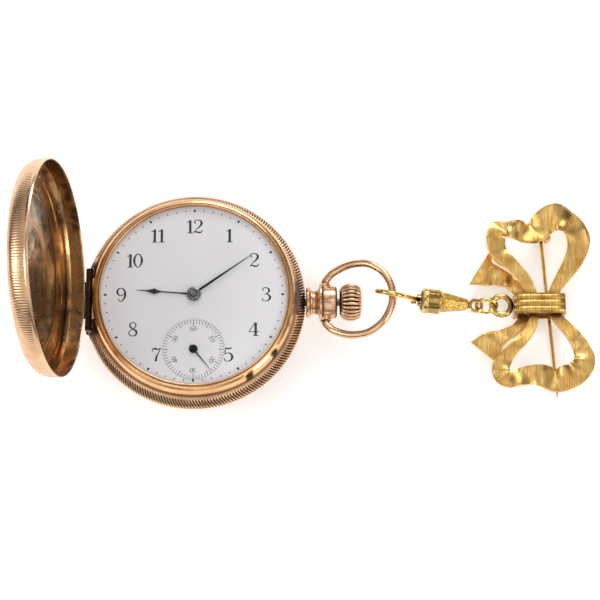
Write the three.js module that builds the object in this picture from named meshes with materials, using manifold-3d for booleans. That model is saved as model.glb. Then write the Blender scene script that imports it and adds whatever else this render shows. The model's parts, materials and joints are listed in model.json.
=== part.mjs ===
// Hunter pocket watch with its front cover open, a swivel clasp on its bow and a ribbon-bow brooch.
// Millimetres. The origin is the middle of the flat on the back cover, +X runs to the crown,
// +Y to 12 o'clock and +Z out of the dial.
import * as THREE from "three";
import { mergeVertices } from "three/addons/utils/BufferGeometryUtils.js";
import Module from "manifold-3d";

const wasm = await Module();
wasm.setup();

// ---------------------------------------------------------------- driving dimensions
const shake = 0.05; // gap left between two faces that rest together
const runningFit = 0.12; // radial gap round a turning or sliding arbor
const aroundSteps = 32; // facets round every large turned piece

// Covers and case middle
const plateRadius = 14.6; // the movement's pillar plate
const backFlatRadius = 5.5;
const backWall = 0.5;
const dustGap = 0.45; // back cover to dust cover
const dustWall = 0.35;
const dustRimRadius = 15.1;
const coverWall = 0.6;
const bandProud = 0.9; // how far the reeded band stands out past its edges
const upstandWall = 0.45; // the thin wall that the bezel snaps round
const bezelWall = 0.53;
const seatWidth = 0.7; // ledge that carries the pillar plate
const seatThick = 0.55;
const channelWidth = 0.75; // hollow in the band that hides the case springs
const lidDomeWall = 0.7;
const lidOpenAngle = 98.5; // degrees from closed, at the stop

// Hinges
const knuckleRadius = 0.52;
const hingePinRadius = 0.2;
const hingeLength = 10;
const dustKnuckleRadius = 0.3;
const dustPinRadius = 0.12;

// Heights of the movement, counted up from the dust cover
const windingWheelGap = 1.0;
const windingWheelThick = 0.55;
const bridgeThick = 0.9;
const trainSpace = 2.9; // bridges to pillar plate
const plateThick = 0.9;
const motionSpace = 1.05; // pillar plate to dial
const dialThick = 0.8;
const glassThick = 0.45;
const glassRise = 1.25; // top of the dial to the inside of the glass, at the centre
const lidClear = 0.3; // glass to closed front cover

// Dial and hands
const secondsOffset = 8.75; // centre of the dial to the seconds hand's arbor
const secondsSinkRadius = 4.95;
const secondsSinkDepth = 0.12;
const hourHandLength = 8.9;
const minuteHandLength = 11.2;
const secondsHandLength = 4.3;
const handThick = 0.12;
const shownHour = 9;
const shownMinute = 9.15;
const shownSecond = 23.4;

// Pendant, crown and bow
const stemRadius = 0.6;
const stemRise = 1.25; // bridges' inner face to the stem's axis
const underStem = 0.2; // the stem to the lower face of the case middle
const neckRadius = 2.0;
const neckLength = 2.15;
const collarRadius = 2.55;
const collarLength = 2.3;
const flangeRadius = 3.05;
const flangeThick = 0.3;
const crownRadius = 2.95;
const crownLength = 3.4;
const crownGap = 0.5; // room for the crown to be pressed
const crownFlutes = 20;
const bowWireRadius = 0.6;
const bowRingRadius = 5.8; // centreline of the bow
const bowReach = 11.05; // pivot to the centreline at the far end
const bowTilt = 20.2; // degrees up from the dial's plane, at rest
const bowPinRadius = 0.42;
const bossRadius = 0.95;
const bossReach = 3.05;

// Swivel clasp and link
const hookWireRadius = 0.42;
const gateWireRadius = 0.3;
const swivelBarrelRadius = 2.05;
const swivelBarrelLength = 3.0;
const swivelConeLength = 4.6;
const eyeRingRadius = 0.9;
const eyeWireRadius = 0.3;
const linkWireRadius = 0.26;
const linkHalfLength = 1.6;
const linkHalfWidth = 1.25;
const linkTilt = 35;
const bailRingRadius = 1.5;
const bailWireRadius = 0.42;
const chainHeight = 3.0; // height of the eye, link and bail above the table

// Brooch
const knotLength = 8;
const knotWidth = 3.3;
const knotWall = 0.45;
const tailThick = 1.15;
const loopThick = 1.5;
const tailHeight = 1.55; // table to the underside of the ribbon tails
const pinStemRadius = 0.28;
const pinHeight = 0.7;

// ---------------------------------------------------------------- derived heights and radii
const dustTop = backWall + dustGap + dustWall;
const windingWheelZ = dustTop + windingWheelGap;
const bridgeZ = windingWheelZ + windingWheelThick + shake;
const bridgeTop = bridgeZ + bridgeThick;
const plateZ = bridgeTop + trainSpace;
const plateTop = plateZ + plateThick;
const rimTop = plateTop + motionSpace;
const dialZ = rimTop + shake;
const dialTop = dialZ + dialThick;
const glassInside = dialTop + glassRise;
const glassOutside = glassInside + glassThick;
const lidInside = glassOutside + lidClear;
const lidOutside = lidInside + lidDomeWall;

const upstandInner = plateRadius + 0.12;
const upstandOuter = upstandInner + upstandWall;
const bezelInner = upstandOuter + shake;
const bezelOuter = bezelInner + bezelWall;
const sightRadius = plateRadius - 0.2; // what the bezel leaves of the dial
const lidInner = bezelOuter + 0.15;
const lidOuter = lidInner + coverWall;
const bandEdgeRadius = lidOuter - 0.1;
const bandRadius = bandEdgeRadius + bandProud;
const channelInner = upstandOuter + shake;
const channelOuter = channelInner + channelWidth;

const ringTop = plateTop - shake;
const stemZ = bridgeTop + stemRise;
const ringBottom = stemZ - stemRadius - underStem;
const ringMiddle = (ringTop + ringBottom) / 2;
const seatTop = plateZ - shake;
const lidRim = ringTop + shake;
const backRim = ringBottom - 0.07;
const bezelTop = dialTop + 0.75;
const bridgeRadius = plateRadius - 1.2;

const lidHinge = { x: -(lidOuter - shake), z: ringTop - knuckleRadius - 0.03 };
const backHinge = { x: lidHinge.x, z: ringBottom + knuckleRadius + 0.03 };
const dustHinge = { x: -(channelInner + channelOuter) / 2, z: ringBottom + dustKnuckleRadius };

const windingPinionRadius = stemZ - bridgeZ;
const neckStart = bandRadius + 0.04;
const flangeX = neckStart + neckLength;
const collarX = flangeX + flangeThick;
const collarEnd = collarX + collarLength;
const crownX = collarEnd + crownGap;
const bowPivotX = collarX + 0.55;

// ---------------------------------------------------------------- solids
const radians = THREE.MathUtils.degToRad;

function solid(geometry) {
  const bare = new THREE.BufferGeometry().setAttribute("position", geometry.getAttribute("position"));
  if (geometry.index) bare.setIndex(geometry.index);
  const merged = mergeVertices(bare, 1e-4);
  const index = new Uint32Array(merged.index.array);
  const build = () =>
    new wasm.Manifold(
      new wasm.Mesh({
        numProp: 3,
        vertProperties: new Float32Array(merged.attributes.position.array),
        triVerts: index,
      }),
    );
  const made = build();
  if (made.volume() > 0) return made;
  for (let i = 0; i < index.length; i += 3) [index[i + 1], index[i + 2]] = [index[i + 2], index[i + 1]];
  return build();
}

const join = (first, ...others) => others.reduce((sum, other) => sum.add(other), first);
const cut = (first, ...others) => others.reduce((rest, other) => rest.subtract(other), first);

// A closed profile of [radius, height] turned about the Z axis.
function turned(profile, steps = aroundSteps) {
  const points = profile.map(([r, h]) => new THREE.Vector2(r, h));
  if (profile[0][0] > 0 || profile.at(-1)[0] > 0) points.push(points[0].clone());
  return solid(new THREE.LatheGeometry(points, steps).rotateX(Math.PI / 2));
}

// The same profile turned about the X axis through the stem.
function turnedOnStem(profile, steps = 18) {
  const points = profile.map(([r, x]) => new THREE.Vector2(r, x));
  if (profile[0][0] > 0 || profile.at(-1)[0] > 0) points.push(points[0].clone());
  const made = new THREE.LatheGeometry(points, steps).rotateZ(-Math.PI / 2).translate(0, 0, stemZ);
  return solid(made);
}

function box(x0, x1, y0, y1, z0, z1) {
  const made = new THREE.BoxGeometry(x1 - x0, y1 - y0, z1 - z0);
  return solid(made.translate((x0 + x1) / 2, (y0 + y1) / 2, (z0 + z1) / 2));
}

function rodBetween(from, to, radius, steps = 12) {
  const start = new THREE.Vector3(...from);
  const along = new THREE.Vector3(...to).sub(start);
  const made = new THREE.CylinderGeometry(radius, radius, along.length(), steps);
  const turn = new THREE.Quaternion().setFromUnitVectors(new THREE.Vector3(0, 1, 0), along.clone().normalize());
  made.applyQuaternion(turn);
  const middle = start.addScaledVector(along, 0.5);
  return solid(made.translate(middle.x, middle.y, middle.z));
}

const arbor = (x, y, z0, z1, radius, steps = 8) => rodBetween([x, y, z0], [x, y, z1], radius, steps);

function plate(outline, z0, z1, curveSteps = 6) {
  const made = new THREE.ExtrudeGeometry(outline, { depth: z1 - z0, bevelEnabled: false, curveSegments: curveSteps });
  return solid(made.translate(0, 0, z0));
}

const outlineOf = (points) => new THREE.Shape(points.map(([x, y]) => new THREE.Vector2(x, y)));

function smoothOutline(points, steps) {
  const curve = new THREE.CatmullRomCurve3(points.map(([x, y]) => new THREE.Vector3(x, y, 0)), true);
  return new THREE.Shape(curve.getPoints(steps).slice(0, -1).map((p) => new THREE.Vector2(p.x, p.y)));
}

function wire(points, radius, steps, sides = 8) {
  const route = new THREE.CatmullRomCurve3(points.map((p) => new THREE.Vector3(...p)));
  const section = new THREE.Shape();
  for (let i = 0; i < sides; i += 1) {
    const turn = (2 * Math.PI * i) / sides;
    section[i ? "lineTo" : "moveTo"](radius * Math.cos(turn), radius * Math.sin(turn));
  }
  return solid(new THREE.ExtrudeGeometry(section, { steps, extrudePath: route, bevelEnabled: false }));
}

function ring(x, y, z, ringRadius, wireRadius, steps = 24) {
  return solid(new THREE.TorusGeometry(ringRadius, wireRadius, 8, steps).translate(x, y, z));
}

// A wheel or pinion with pointed teeth; one tooth points along facing, or a gap does.
function gear(x, y, z0, z1, teeth, module, facing, gapFaces = false) {
  const pitchRadius = (teeth * module) / 2;
  const turn = radians(facing) + (gapFaces ? Math.PI / teeth : 0);
  const points = [];
  for (let i = 0; i < 2 * teeth; i += 1) {
    const reach = i % 2 ? pitchRadius - 0.9 * module : pitchRadius + 0.55 * module;
    const angle = turn + (Math.PI * i) / teeth;
    points.push([x + reach * Math.cos(angle), y + reach * Math.sin(angle)]);
  }
  return plate(outlineOf(points), z0, z1);
}

const pitch = (teeth, module) => (teeth * module) / 2;
const degreesBetween = (from, to) => THREE.MathUtils.radToDeg(Math.atan2(to[1] - from[1], to[0] - from[0]));
const polar = (radius, degrees) => [radius * Math.cos(radians(degrees)), radius * Math.sin(radians(degrees))];

// ---------------------------------------------------------------- finishes and nodes
const finishes = {
  roseGold: { color: 0xc99a6b, roughness: 0.3, metalness: 1 },
  yellowGold: { color: 0xd9a552, roughness: 0.42, metalness: 1 },
  brass: { color: 0xc8a865, roughness: 0.4, metalness: 1 },
  nickel: { color: 0xb9b6ad, roughness: 0.35, metalness: 1 },
  steel: { color: 0x9a9a9a, roughness: 0.3, metalness: 1 },
  bluedSteel: { color: 0x1b2230, roughness: 0.3, metalness: 1 },
  enamel: { color: 0xf1eee6, roughness: 0.2, metalness: 0 },
  glass: { color: 0xeef3f5, roughness: 0.05, metalness: 0 },
  ruby: { color: 0x9c2338, roughness: 0.15, metalness: 0 },
};

const watch = new THREE.Group();

function node(name, body, finish, parent = watch) {
  const found = body.getMesh();
  const positions = new Float32Array(found.numVert * 3);
  for (let i = 0; i < found.numVert; i += 1) {
    positions.set(found.vertProperties.subarray(i * found.numProp, i * found.numProp + 3), i * 3);
  }
  const geometry = new THREE.BufferGeometry()
    .setAttribute("position", new THREE.BufferAttribute(positions, 3))
    .setIndex(new THREE.BufferAttribute(found.triVerts, 1));
  const mesh = new THREE.Mesh(geometry, new THREE.MeshStandardMaterial(finishes[finish]));
  mesh.name = name;
  parent.add(mesh);
  return mesh;
}

// ---------------------------------------------------------------- case middle and its hinges
// Five knuckles share each hinge: the case has the two ends and the middle, the cover the other two.
const knuckleStep = hingeLength / 5;
const caseKnuckles = [-2, 0, 2].map((i) => i * knuckleStep);
const coverKnuckles = [-1, 1].map((i) => i * knuckleStep);

function knuckles(hinge, middles, radius) {
  const half = knuckleStep / 2 - shake;
  return middles.map((y) => rodBetween([hinge.x, y - half, hinge.z], [hinge.x, y + half, hinge.z], radius, 8));
}

function hingeRod(hinge, radius, length) {
  return rodBetween([hinge.x, -length / 2, hinge.z], [hinge.x, length / 2, hinge.z], radius, 6);
}

const hingeBore = hingePinRadius + runningFit / 2;

function makeCaseMiddle() {
  const profile = [
    [plateRadius - seatWidth, seatTop - seatThick],
    [channelInner, seatTop - seatThick],
    [channelInner, ringTop - 0.6],
    [channelOuter, ringTop - 0.6],
    [channelOuter, ringBottom],
    [bandEdgeRadius, ringBottom],
    [bandRadius, ringMiddle],
    [bandEdgeRadius, ringTop],
    [upstandOuter, ringTop],
    [upstandOuter, dialTop - shake],
    [upstandInner, dialTop - shake],
    [upstandInner, seatTop],
    [plateRadius - seatWidth, seatTop],
  ];
  const halfHinge = hingeLength / 2 + shake;
  const outside = -(bandRadius + 1);
  const recessEnd = lidHinge.x + knuckleRadius + 0.08;
  const lidRecess = box(outside, recessEnd, -halfHinge, halfHinge, lidHinge.z - 0.8, ringTop + 1);
  const backRecess = box(outside, recessEnd, -halfHinge, halfHinge, ringBottom - 1, backHinge.z + 0.6);
  const ears = (hinge, low, high) =>
    caseKnuckles.map((y) => {
      const half = knuckleStep / 2 - shake;
      return box(hinge.x, recessEnd + 0.2, y - half, y + half, low, high);
    });
  const upper = [...knuckles(lidHinge, caseKnuckles, knuckleRadius), ...ears(lidHinge, lidHinge.z - 0.85, lidHinge.z)];
  const lower = [...knuckles(backHinge, caseKnuckles, knuckleRadius), ...ears(backHinge, backHinge.z, backHinge.z + 0.65)];
  const pendantSeat = rodBetween([lidOuter + 0.15, 0, stemZ], [bandRadius, 0, stemZ], neckRadius + 0.3, 20);
  const stemHole = rodBetween([plateRadius - 2, 0, stemZ], [bandRadius + 1, 0, stemZ], stemRadius + runningFit, 16);
  const catchSlot = box(channelInner - 0.02, bezelOuter + 0.12, -1.3, 1.3, ringTop - 0.7, ringTop + 0.1);
  const blank = cut(turned(profile), lidRecess, backRecess);
  const solidRing = join(blank, ...upper, ...lower, pendantSeat);
  const dustSlot = box(-channelOuter - 0.05, -channelInner + 0.05, -2.2, 2.2, ringBottom - 0.1, ringBottom + 0.75);
  return cut(
    solidRing,
    hingeRod(lidHinge, hingeBore, hingeLength + 1),
    hingeRod(backHinge, hingeBore, hingeLength + 1),
    stemHole,
    catchSlot,
    dustSlot,
  );
}

node("case_middle", makeCaseMiddle(), "roseGold");
node("front_hinge_pin", hingeRod(lidHinge, hingePinRadius, hingeLength), "steel");
node("back_hinge_pin", hingeRod(backHinge, hingePinRadius, hingeLength), "steel");

// ---------------------------------------------------------------- covers
const domeSteps = [0, 0.35, 0.62, 0.83, 1];

function makeFrontCover() {
  const edge = sightRadius;
  const inside = domeSteps.map((t) => [t * edge, lidInside - 0.85 * t * t]);
  const outside = domeSteps.map((t) => [t * edge, lidOutside - 1.0 * t * t]).reverse();
  const profile = [
    ...inside,
    [lidInner - 0.7, bezelTop + 0.2],
    [lidInner, bezelTop - 0.55],
    [lidInner, lidRim],
    [lidOuter, lidRim],
    [lidOuter, lidRim + 0.65],
    [lidOuter - 0.3, bezelTop - 0.35],
    [lidOuter - 0.75, bezelTop + 0.5],
    ...outside,
  ];
  const half = knuckleStep / 2 - shake;
  const tongues = coverKnuckles.map((y) =>
    box(lidHinge.x - 0.3, -lidInner + 0.02, y - half, y + half, lidHinge.z, lidRim + 0.6),
  );
  const whole = join(turned(profile), ...knuckles(lidHinge, coverKnuckles, knuckleRadius), ...tongues);
  return cut(whole, hingeRod(lidHinge, hingeBore, hingeLength + 1));
}

const lidGroup = new THREE.Group();
lidGroup.position.set(lidHinge.x, 0, lidHinge.z);
lidGroup.rotation.y = -radians(lidOpenAngle);
watch.add(lidGroup);
node("front_cover", makeFrontCover(), "roseGold", lidGroup).position.set(-lidHinge.x, 0, -lidHinge.z);

// The back's dome: flat in the middle, then rising ever faster to the rim.
function backDome(radius) {
  const t = Math.max(0, (radius - backFlatRadius) / (lidOuter - 0.4 - backFlatRadius));
  return (backRim - 1.08) * t ** 3.2;
}

function makeBackCover() {
  const radii = [8.5, 11, 13, 14.6].map((r) => (r * plateRadius) / 14.6);
  const profile = [
    [0, 0],
    [backFlatRadius, 0],
    ...radii.map((r) => [r, backDome(r)]),
    [lidOuter - 0.4, backDome(lidOuter - 0.4)],
    [lidOuter, backRim - 0.5],
    [lidOuter, backRim],
    [lidInner, backRim],
    [lidInner, backDome(lidInner) + backWall],
    ...radii.map((r) => [r, backDome(r) + backWall]).reverse(),
    [backFlatRadius, backWall],
    [0, backWall],
  ];
  const half = knuckleStep / 2 - shake;
  const tongues = coverKnuckles.map((y) =>
    box(backHinge.x - 0.3, -lidInner + 0.02, y - half, y + half, backRim - 0.6, backHinge.z),
  );
  const whole = join(turned(profile), ...knuckles(backHinge, coverKnuckles, knuckleRadius), ...tongues);
  return cut(whole, hingeRod(backHinge, hingeBore, hingeLength + 1));
}

node("back_cover", makeBackCover(), "roseGold");

function makeDustCover() {
  const lift = backWall + dustGap;
  const radii = [11, 13, 14.2].map((r) => (r * plateRadius) / 14.6);
  const profile = [
    [0, lift],
    [backFlatRadius, lift],
    ...radii.map((r) => [r, backDome(r) + lift]),
    [dustRimRadius, backRim - 0.35],
    [dustRimRadius, backRim],
    [dustRimRadius - 0.4, backRim],
    ...radii.map((r) => [r, backDome(r) + lift + dustWall]).reverse(),
    [backFlatRadius, dustTop],
    [0, dustTop],
  ];
  const pin = [dustHinge.x, dustHinge.z];
  const middle = rodBetween([pin[0], -0.9, pin[1]], [pin[0], 0.9, pin[1]], dustKnuckleRadius, 10);
  const tongue = box(pin[0], -dustRimRadius + 0.3, -0.9, 0.9, backRim - 0.25, backRim + 0.12);
  return cut(join(turned(profile), middle, tongue), hingeRod(dustHinge, dustPinRadius + runningFit / 2, 6));
}

node("dust_cover", makeDustCover(), "roseGold");
node("dust_hinge_pin", hingeRod(dustHinge, dustPinRadius, 4.2), "steel");

// ---------------------------------------------------------------- bezel, glass and dial
const glassSeat = dialTop + 0.16;

function makeBezel() {
  const profile = [
    [bezelInner, ringTop + shake],
    [bezelOuter, ringTop + shake],
    [bezelOuter, dialTop - 0.6],
    [bezelOuter - 0.18, dialTop + 0.15],
    [bezelOuter - 0.7, dialTop + 0.6],
    [sightRadius + 0.2, bezelTop],
    [sightRadius, bezelTop - 0.1],
    [sightRadius, glassSeat + 0.32],
    [sightRadius + 0.35, glassSeat + 0.32],
    [sightRadius + 0.35, glassSeat - 0.03],
    [sightRadius, glassSeat - 0.03],
    [sightRadius, dialTop + shake],
    [bezelInner, dialTop + shake],
  ];
  const notches = [-37, -56.4].map((angle) => {
    const [x, y] = polar(bezelOuter, angle);
    return rodBetween([x, y, ringTop - 0.5], [x, y, ringTop + 0.55], 0.35, 10);
  });
  return cut(turned(profile), ...notches);
}

node("bezel", makeBezel(), "roseGold");

function makeGlass() {
  const reach = sightRadius - 0.1;
  const steps = [0, 0.4, 0.7, 1];
  const edge = glassSeat;
  const inside = steps.map((t) => [t * reach, glassInside - (glassInside - edge) * t ** 3]);
  const over = edge + 0.27;
  const outside = steps.map((t) => [t * reach, glassOutside - (glassOutside - over) * t ** 3]).reverse();
  return turned([...inside, [sightRadius + 0.3, edge], [sightRadius + 0.3, over], ...outside]);
}

node("glass", makeGlass(), "glass");

const centre = [0, 0];
const fourth = [0, -secondsOffset];

function makeDial() {
  const disc = arbor(0, 0, dialZ, dialTop, plateRadius - 0.05, aroundSteps);
  const sink = arbor(...fourth, dialTop - secondsSinkDepth, dialTop + 1, secondsSinkRadius, 24);
  const feet = [50, 170, 290].map((angle) => arbor(...polar(plateRadius - 1.6, angle), plateTop + shake, dialZ + 0.1, 0.4));
  const holes = [arbor(0, 0, dialZ - 1, dialTop + 1, 1.0, 16), arbor(...fourth, dialZ - 1, dialTop + 1, 0.35, 12)];
  return cut(join(disc, ...feet), sink, ...holes);
}

node("dial", makeDial(), "enamel");

// ---------------------------------------------------------------- going train layout
// Teeth and modules; each pair's distance is the sum of its pitch radii.
const barrelGear = { teeth: 70, module: 0.16 };
const centrePinion = { teeth: 10, module: 0.16 };
const centreGear = { teeth: 64, module: 0.125 };
const thirdPinion = { teeth: 8, module: 0.125 };
const thirdGear = { teeth: 60, module: 0.13 };
const fourthPinion = { teeth: 8, module: 0.13 };
const fourthGear = { teeth: 70, module: 0.11 };
const escapePinion = { teeth: 7, module: 0.11 };
const cannonGear = { teeth: 10, module: 0.12 };
const minuteGear = { teeth: 30, module: 0.12 };
const minutePinion = { teeth: 8, module: 0.12 };
const hourGear = { teeth: 32, module: 0.12 };
const windingTeeth = 30;

const reachOf = (a, b) => pitch(a.teeth, a.module) + pitch(b.teeth, b.module);
const onto = (from, distance, degrees) => {
  const [dx, dy] = polar(distance, degrees);
  return [from[0] + dx, from[1] + dy];
};

// The third arbor stands where its distances to the centre and fourth arbors both hold.
function thirdPlace() {
  const toCentre = reachOf(centreGear, thirdPinion);
  const toFourth = reachOf(thirdGear, fourthPinion);
  const y = -(secondsOffset ** 2 + toCentre ** 2 - toFourth ** 2) / (2 * secondsOffset);
  return [-Math.sqrt(toCentre ** 2 - y ** 2), y];
}

const third = thirdPlace();
const barrel = onto(centre, reachOf(barrelGear, centrePinion), 45);
const escape = onto(fourth, reachOf(fourthGear, escapePinion), 170);
const minutePost = onto(centre, reachOf(cannonGear, minuteGear), 45);
const balance = [-8.6, -2.2];
const pallet = onto(escape, 2.9, degreesBetween(escape, balance));
const crownWheelPlace = [9.0, 0];
const toothReach = (wheel) => pitch(wheel.teeth, wheel.module) + 0.55 * wheel.module;

const arborRadius = 0.16;
const upperPivot = bridgeTop + shake;
const lowerPivot = plateZ - shake;

// ---------------------------------------------------------------- plates, bridges and cocks
function makePillarPlate() {
  const profile = [
    [0.9, plateZ],
    [plateRadius, plateZ],
    [plateRadius, rimTop],
    [plateRadius - 0.6, rimTop],
    [plateRadius - 0.6, plateTop],
    [0.9, plateTop],
  ];
  const pocket = box(11.3, 13.2, -2.0, 2.0, plateZ - 1, stemZ + windingPinionRadius + 0.2);
  const secondsHole = arbor(...fourth, plateZ - 1, plateTop + 1, arborRadius + runningFit);
  const post = arbor(...minutePost, plateTop - 0.1, plateTop + 0.95, 0.15);
  return cut(join(turned(profile), post), pocket, secondsHole);
}

node("pillar_plate", makePillarPlate(), "nickel");

// A bridge's outline: straight inner edges, closed by an arc along the edge of the movement.
function bridgeOutline(innerPoints, fromDegrees, toDegrees, clockwise = false) {
  const outline = new THREE.Shape();
  outline.moveTo(...innerPoints[0]);
  innerPoints.slice(1).forEach((p) => outline.lineTo(...p));
  outline.absarc(0, 0, bridgeRadius, radians(fromDegrees), radians(toDegrees), clockwise);
  return outline;
}

const bridgeFoot = ([x, y]) => arbor(x, y, bridgeTop - 0.1, plateZ - shake, 0.75);
const barrelBridgeFeet = [[-8, 7.5], [11.4, 5.2], [8.4, -3.1]];
const trainBridgeFeet = [[7.5, -9], [-4.6, -11.6], [5.4, -5]];
const cockFoot = [-11, -6.2];
const palletFoot = [-8.6, -8.2];

function screwHoles(feet) {
  return feet.map(([x, y]) => arbor(x, y, bridgeZ - 1, bridgeZ + 0.35, 0.6));
}

function makeBarrelBridge() {
  const edge = [[-11, 3], [-2.2, 2.2], [-1.7, -1.9], [3.5, -2.3], [9.2, -4.7]];
  const blank = join(plate(bridgeOutline(edge, -24, 165), bridgeZ, bridgeTop, 10), ...barrelBridgeFeet.map(bridgeFoot));
  const pinionSlot = box(11.2, bridgeRadius + 1, -2.3, 2.3, bridgeZ - 1, bridgeTop + 1);
  const arborHole = arbor(...barrel, bridgeZ - 1, bridgeTop + 1, 0.6, 12);
  return cut(blank, pinionSlot, arborHole, ...screwHoles(barrelBridgeFeet));
}

function makeTrainBridge() {
  const edge = [[-5.3, -11], [-5.3, -6.6], [-2.3, -2.9], [3.6, -3.1], [9.1, -5.6]];
  const outline = bridgeOutline(edge, -30, -113, true);
  const blank = join(plate(outline, bridgeZ, bridgeTop, 8), ...trainBridgeFeet.map(bridgeFoot));
  return cut(blank, ...screwHoles(trainBridgeFeet));
}

function bar(from, to, width, z0, z1) {
  const turn = degreesBetween(from, to);
  const side = polar(width / 2, turn + 90);
  const outline = outlineOf([
    [from[0] + side[0], from[1] + side[1]],
    [from[0] - side[0], from[1] - side[1]],
    [to[0] - side[0], to[1] - side[1]],
    [to[0] + side[0], to[1] + side[1]],
  ]);
  const end = ([x, y]) => arbor(x, y, z0, z1, width / 2, 10);
  return join(plate(outline, z0, z1), end(from), end(to));
}

function makeBalanceCock() {
  const blank = join(bar(cockFoot, balance, 2.2, bridgeZ, bridgeZ + 0.7), bridgeFoot(cockFoot));
  const post = arbor(...cockFoot, bridgeZ + 0.6, bridgeTop, 0.75, 12);
  return cut(join(blank, post), ...screwHoles([cockFoot]));
}

function makePalletCock() {
  const low = plateZ - 1.95;
  const blank = bar(palletFoot, pallet, 1.2, low, low + 0.35);
  return join(blank, arbor(...palletFoot, low + 0.3, plateZ - shake, 0.6, 12));
}

node("barrel_bridge", makeBarrelBridge(), "nickel");
node("train_bridge", makeTrainBridge(), "nickel");
node("balance_cock", makeBalanceCock(), "nickel");
node("pallet_cock", makePalletCock(), "nickel");

// ---------------------------------------------------------------- wheels of the going train
function makeBarrelDrum() {
  const top = plateZ - 0.95;
  const low = bridgeTop + 0.15;
  const radius = pitch(barrelGear.teeth, barrelGear.module) - 0.5;
  const toothed = gear(...barrel, top - 0.4, top, barrelGear.teeth, barrelGear.module, 45 + 180);
  const drum = arbor(...barrel, low, top - 0.3, radius, 24);
  const hollow = arbor(...barrel, low + 0.3, top - 0.3, radius - 0.4, 18);
  const arborHole = arbor(...barrel, low - 1, top + 1, 0.5 + runningFit, 12);
  return cut(join(drum, toothed), hollow, arborHole);
}

function makeBarrelArbor() {
  const low = windingWheelZ;
  const shaft = arbor(...barrel, low, plateZ - shake, 0.45, 12);
  const core = arbor(...barrel, bridgeTop + 0.6, plateZ - 1.5, 1.4, 12);
  return join(shaft, core, windingWheel(barrel));
}

const windingReach = Math.hypot(barrel[0] - crownWheelPlace[0], barrel[1] - crownWheelPlace[1]);
const windingModule = windingReach / windingTeeth;
const ratchetRadius = windingReach / 2;

// The ratchet wheel and the crown wheel are a pair of equal wheels in mesh.
function windingWheel(place) {
  const facing = degreesBetween(barrel, crownWheelPlace);
  const isCrownWheel = place === crownWheelPlace;
  const toward = isCrownWheel ? facing + 180 : facing;
  return gear(...place, windingWheelZ, windingWheelZ + windingWheelThick, windingTeeth, windingModule, toward, isCrownWheel);
}

node("mainspring_barrel", makeBarrelDrum(), "brass");
node("ratchet_wheel_and_arbor", makeBarrelArbor(), "steel");

const wheelThick = 0.25;
const centreWheelZ = plateZ - 0.55;
const thirdWheelZ = plateZ - 1.7;
const fourthWheelZ = plateZ - 2.4;
const escapeWheelZ = plateZ - 1.2;

function spoked(place, wheel, z, facing, gapFaces, spokes = 3) {
  const rimInner = pitch(wheel.teeth, wheel.module) - 0.55;
  const blank = gear(...place, z, z + wheelThick, wheel.teeth, wheel.module, facing, gapFaces);
  const window = new THREE.Shape();
  const half = 180 / spokes;
  const margin = 14;
  window.absarc(0, 0, rimInner, radians(-half + margin), radians(half - margin), false);
  window.absarc(0, 0, 0.9, radians(half - 2 * margin), radians(-half + 2 * margin), true);
  const windows = [];
  for (let i = 0; i < spokes; i += 1) {
    const opening = plate(window, z - 1, z + 1, 2).rotate([0, 0, (360 / spokes) * i + half]);
    windows.push(opening.translate(place[0], place[1], 0));
  }
  return cut(blank, ...windows);
}

function makeCentreWheel() {
  const toThird = degreesBetween(centre, third);
  const wheel = spoked(centre, centreGear, centreWheelZ, toThird, false);
  const leaves = gear(0, 0, plateZ - 1.38, plateZ - 0.5, centrePinion.teeth, centrePinion.module, 45, true);
  const shaft = arbor(0, 0, upperPivot, dialTop + 0.3, 0.28, 10);
  return join(wheel, leaves, shaft);
}

function makeThirdWheel() {
  const wheel = spoked(third, thirdGear, thirdWheelZ, degreesBetween(third, fourth), false);
  const toward = degreesBetween(third, centre);
  const leaves = gear(...third, plateZ - 0.8, plateZ - 0.15, thirdPinion.teeth, thirdPinion.module, toward, true);
  return join(wheel, leaves, arbor(...third, upperPivot, lowerPivot, arborRadius));
}

function makeFourthWheel() {
  const wheel = spoked(fourth, fourthGear, fourthWheelZ, degreesBetween(fourth, escape), false);
  const toward = degreesBetween(fourth, third);
  const leaves = gear(...fourth, plateZ - 1.9, plateZ - 1.2, fourthPinion.teeth, fourthPinion.module, toward, true);
  return join(wheel, leaves, arbor(...fourth, upperPivot, dialTop - 0.02, arborRadius));
}

function makeEscapeWheel() {
  const points = [];
  const teeth = 15;
  for (let i = 0; i < teeth; i += 1) {
    const angle = (360 / teeth) * i;
    [[2.0, 0], [1.45, 3], [1.45, 17]].forEach(([r, turn]) => points.push(onto(escape, r, angle + turn)));
  }
  const wheel = plate(outlineOf(points), escapeWheelZ, escapeWheelZ + wheelThick);
  const toward = degreesBetween(escape, fourth);
  const leaves = gear(...escape, fourthWheelZ - 0.15, fourthWheelZ + 0.4, escapePinion.teeth, escapePinion.module, toward, true);
  return join(wheel, leaves, arbor(...escape, upperPivot, lowerPivot, arborRadius));
}

node("centre_wheel", makeCentreWheel(), "brass");
node("third_wheel", makeThirdWheel(), "brass");
node("fourth_wheel", makeFourthWheel(), "brass");
node("escape_wheel", makeEscapeWheel(), "steel");

// ---------------------------------------------------------------- lever and balance
function makePalletFork() {
  const z = escapeWheelZ;
  const toBalance = degreesBetween(pallet, balance);
  const toEscape = toBalance + 180;
  const tip = onto(pallet, 3.3, toBalance);
  const forkArm = bar(pallet, tip, 0.4, z, z + wheelThick);
  const arms = [-62, 62].map((turn) => bar(pallet, onto(pallet, 1.9, toEscape + turn), 0.36, z, z + wheelThick));
  const stones = [-62, 62].map((turn) => arbor(...onto(pallet, 1.9, toEscape + turn), z - 0.1, z + wheelThick + 0.1, 0.2));
  const shaft = arbor(...pallet, plateZ - 1.55, lowerPivot, arborRadius);
  return join(forkArm, ...arms, ...stones, shaft);
}

const balanceRadius = 3.6;

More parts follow.
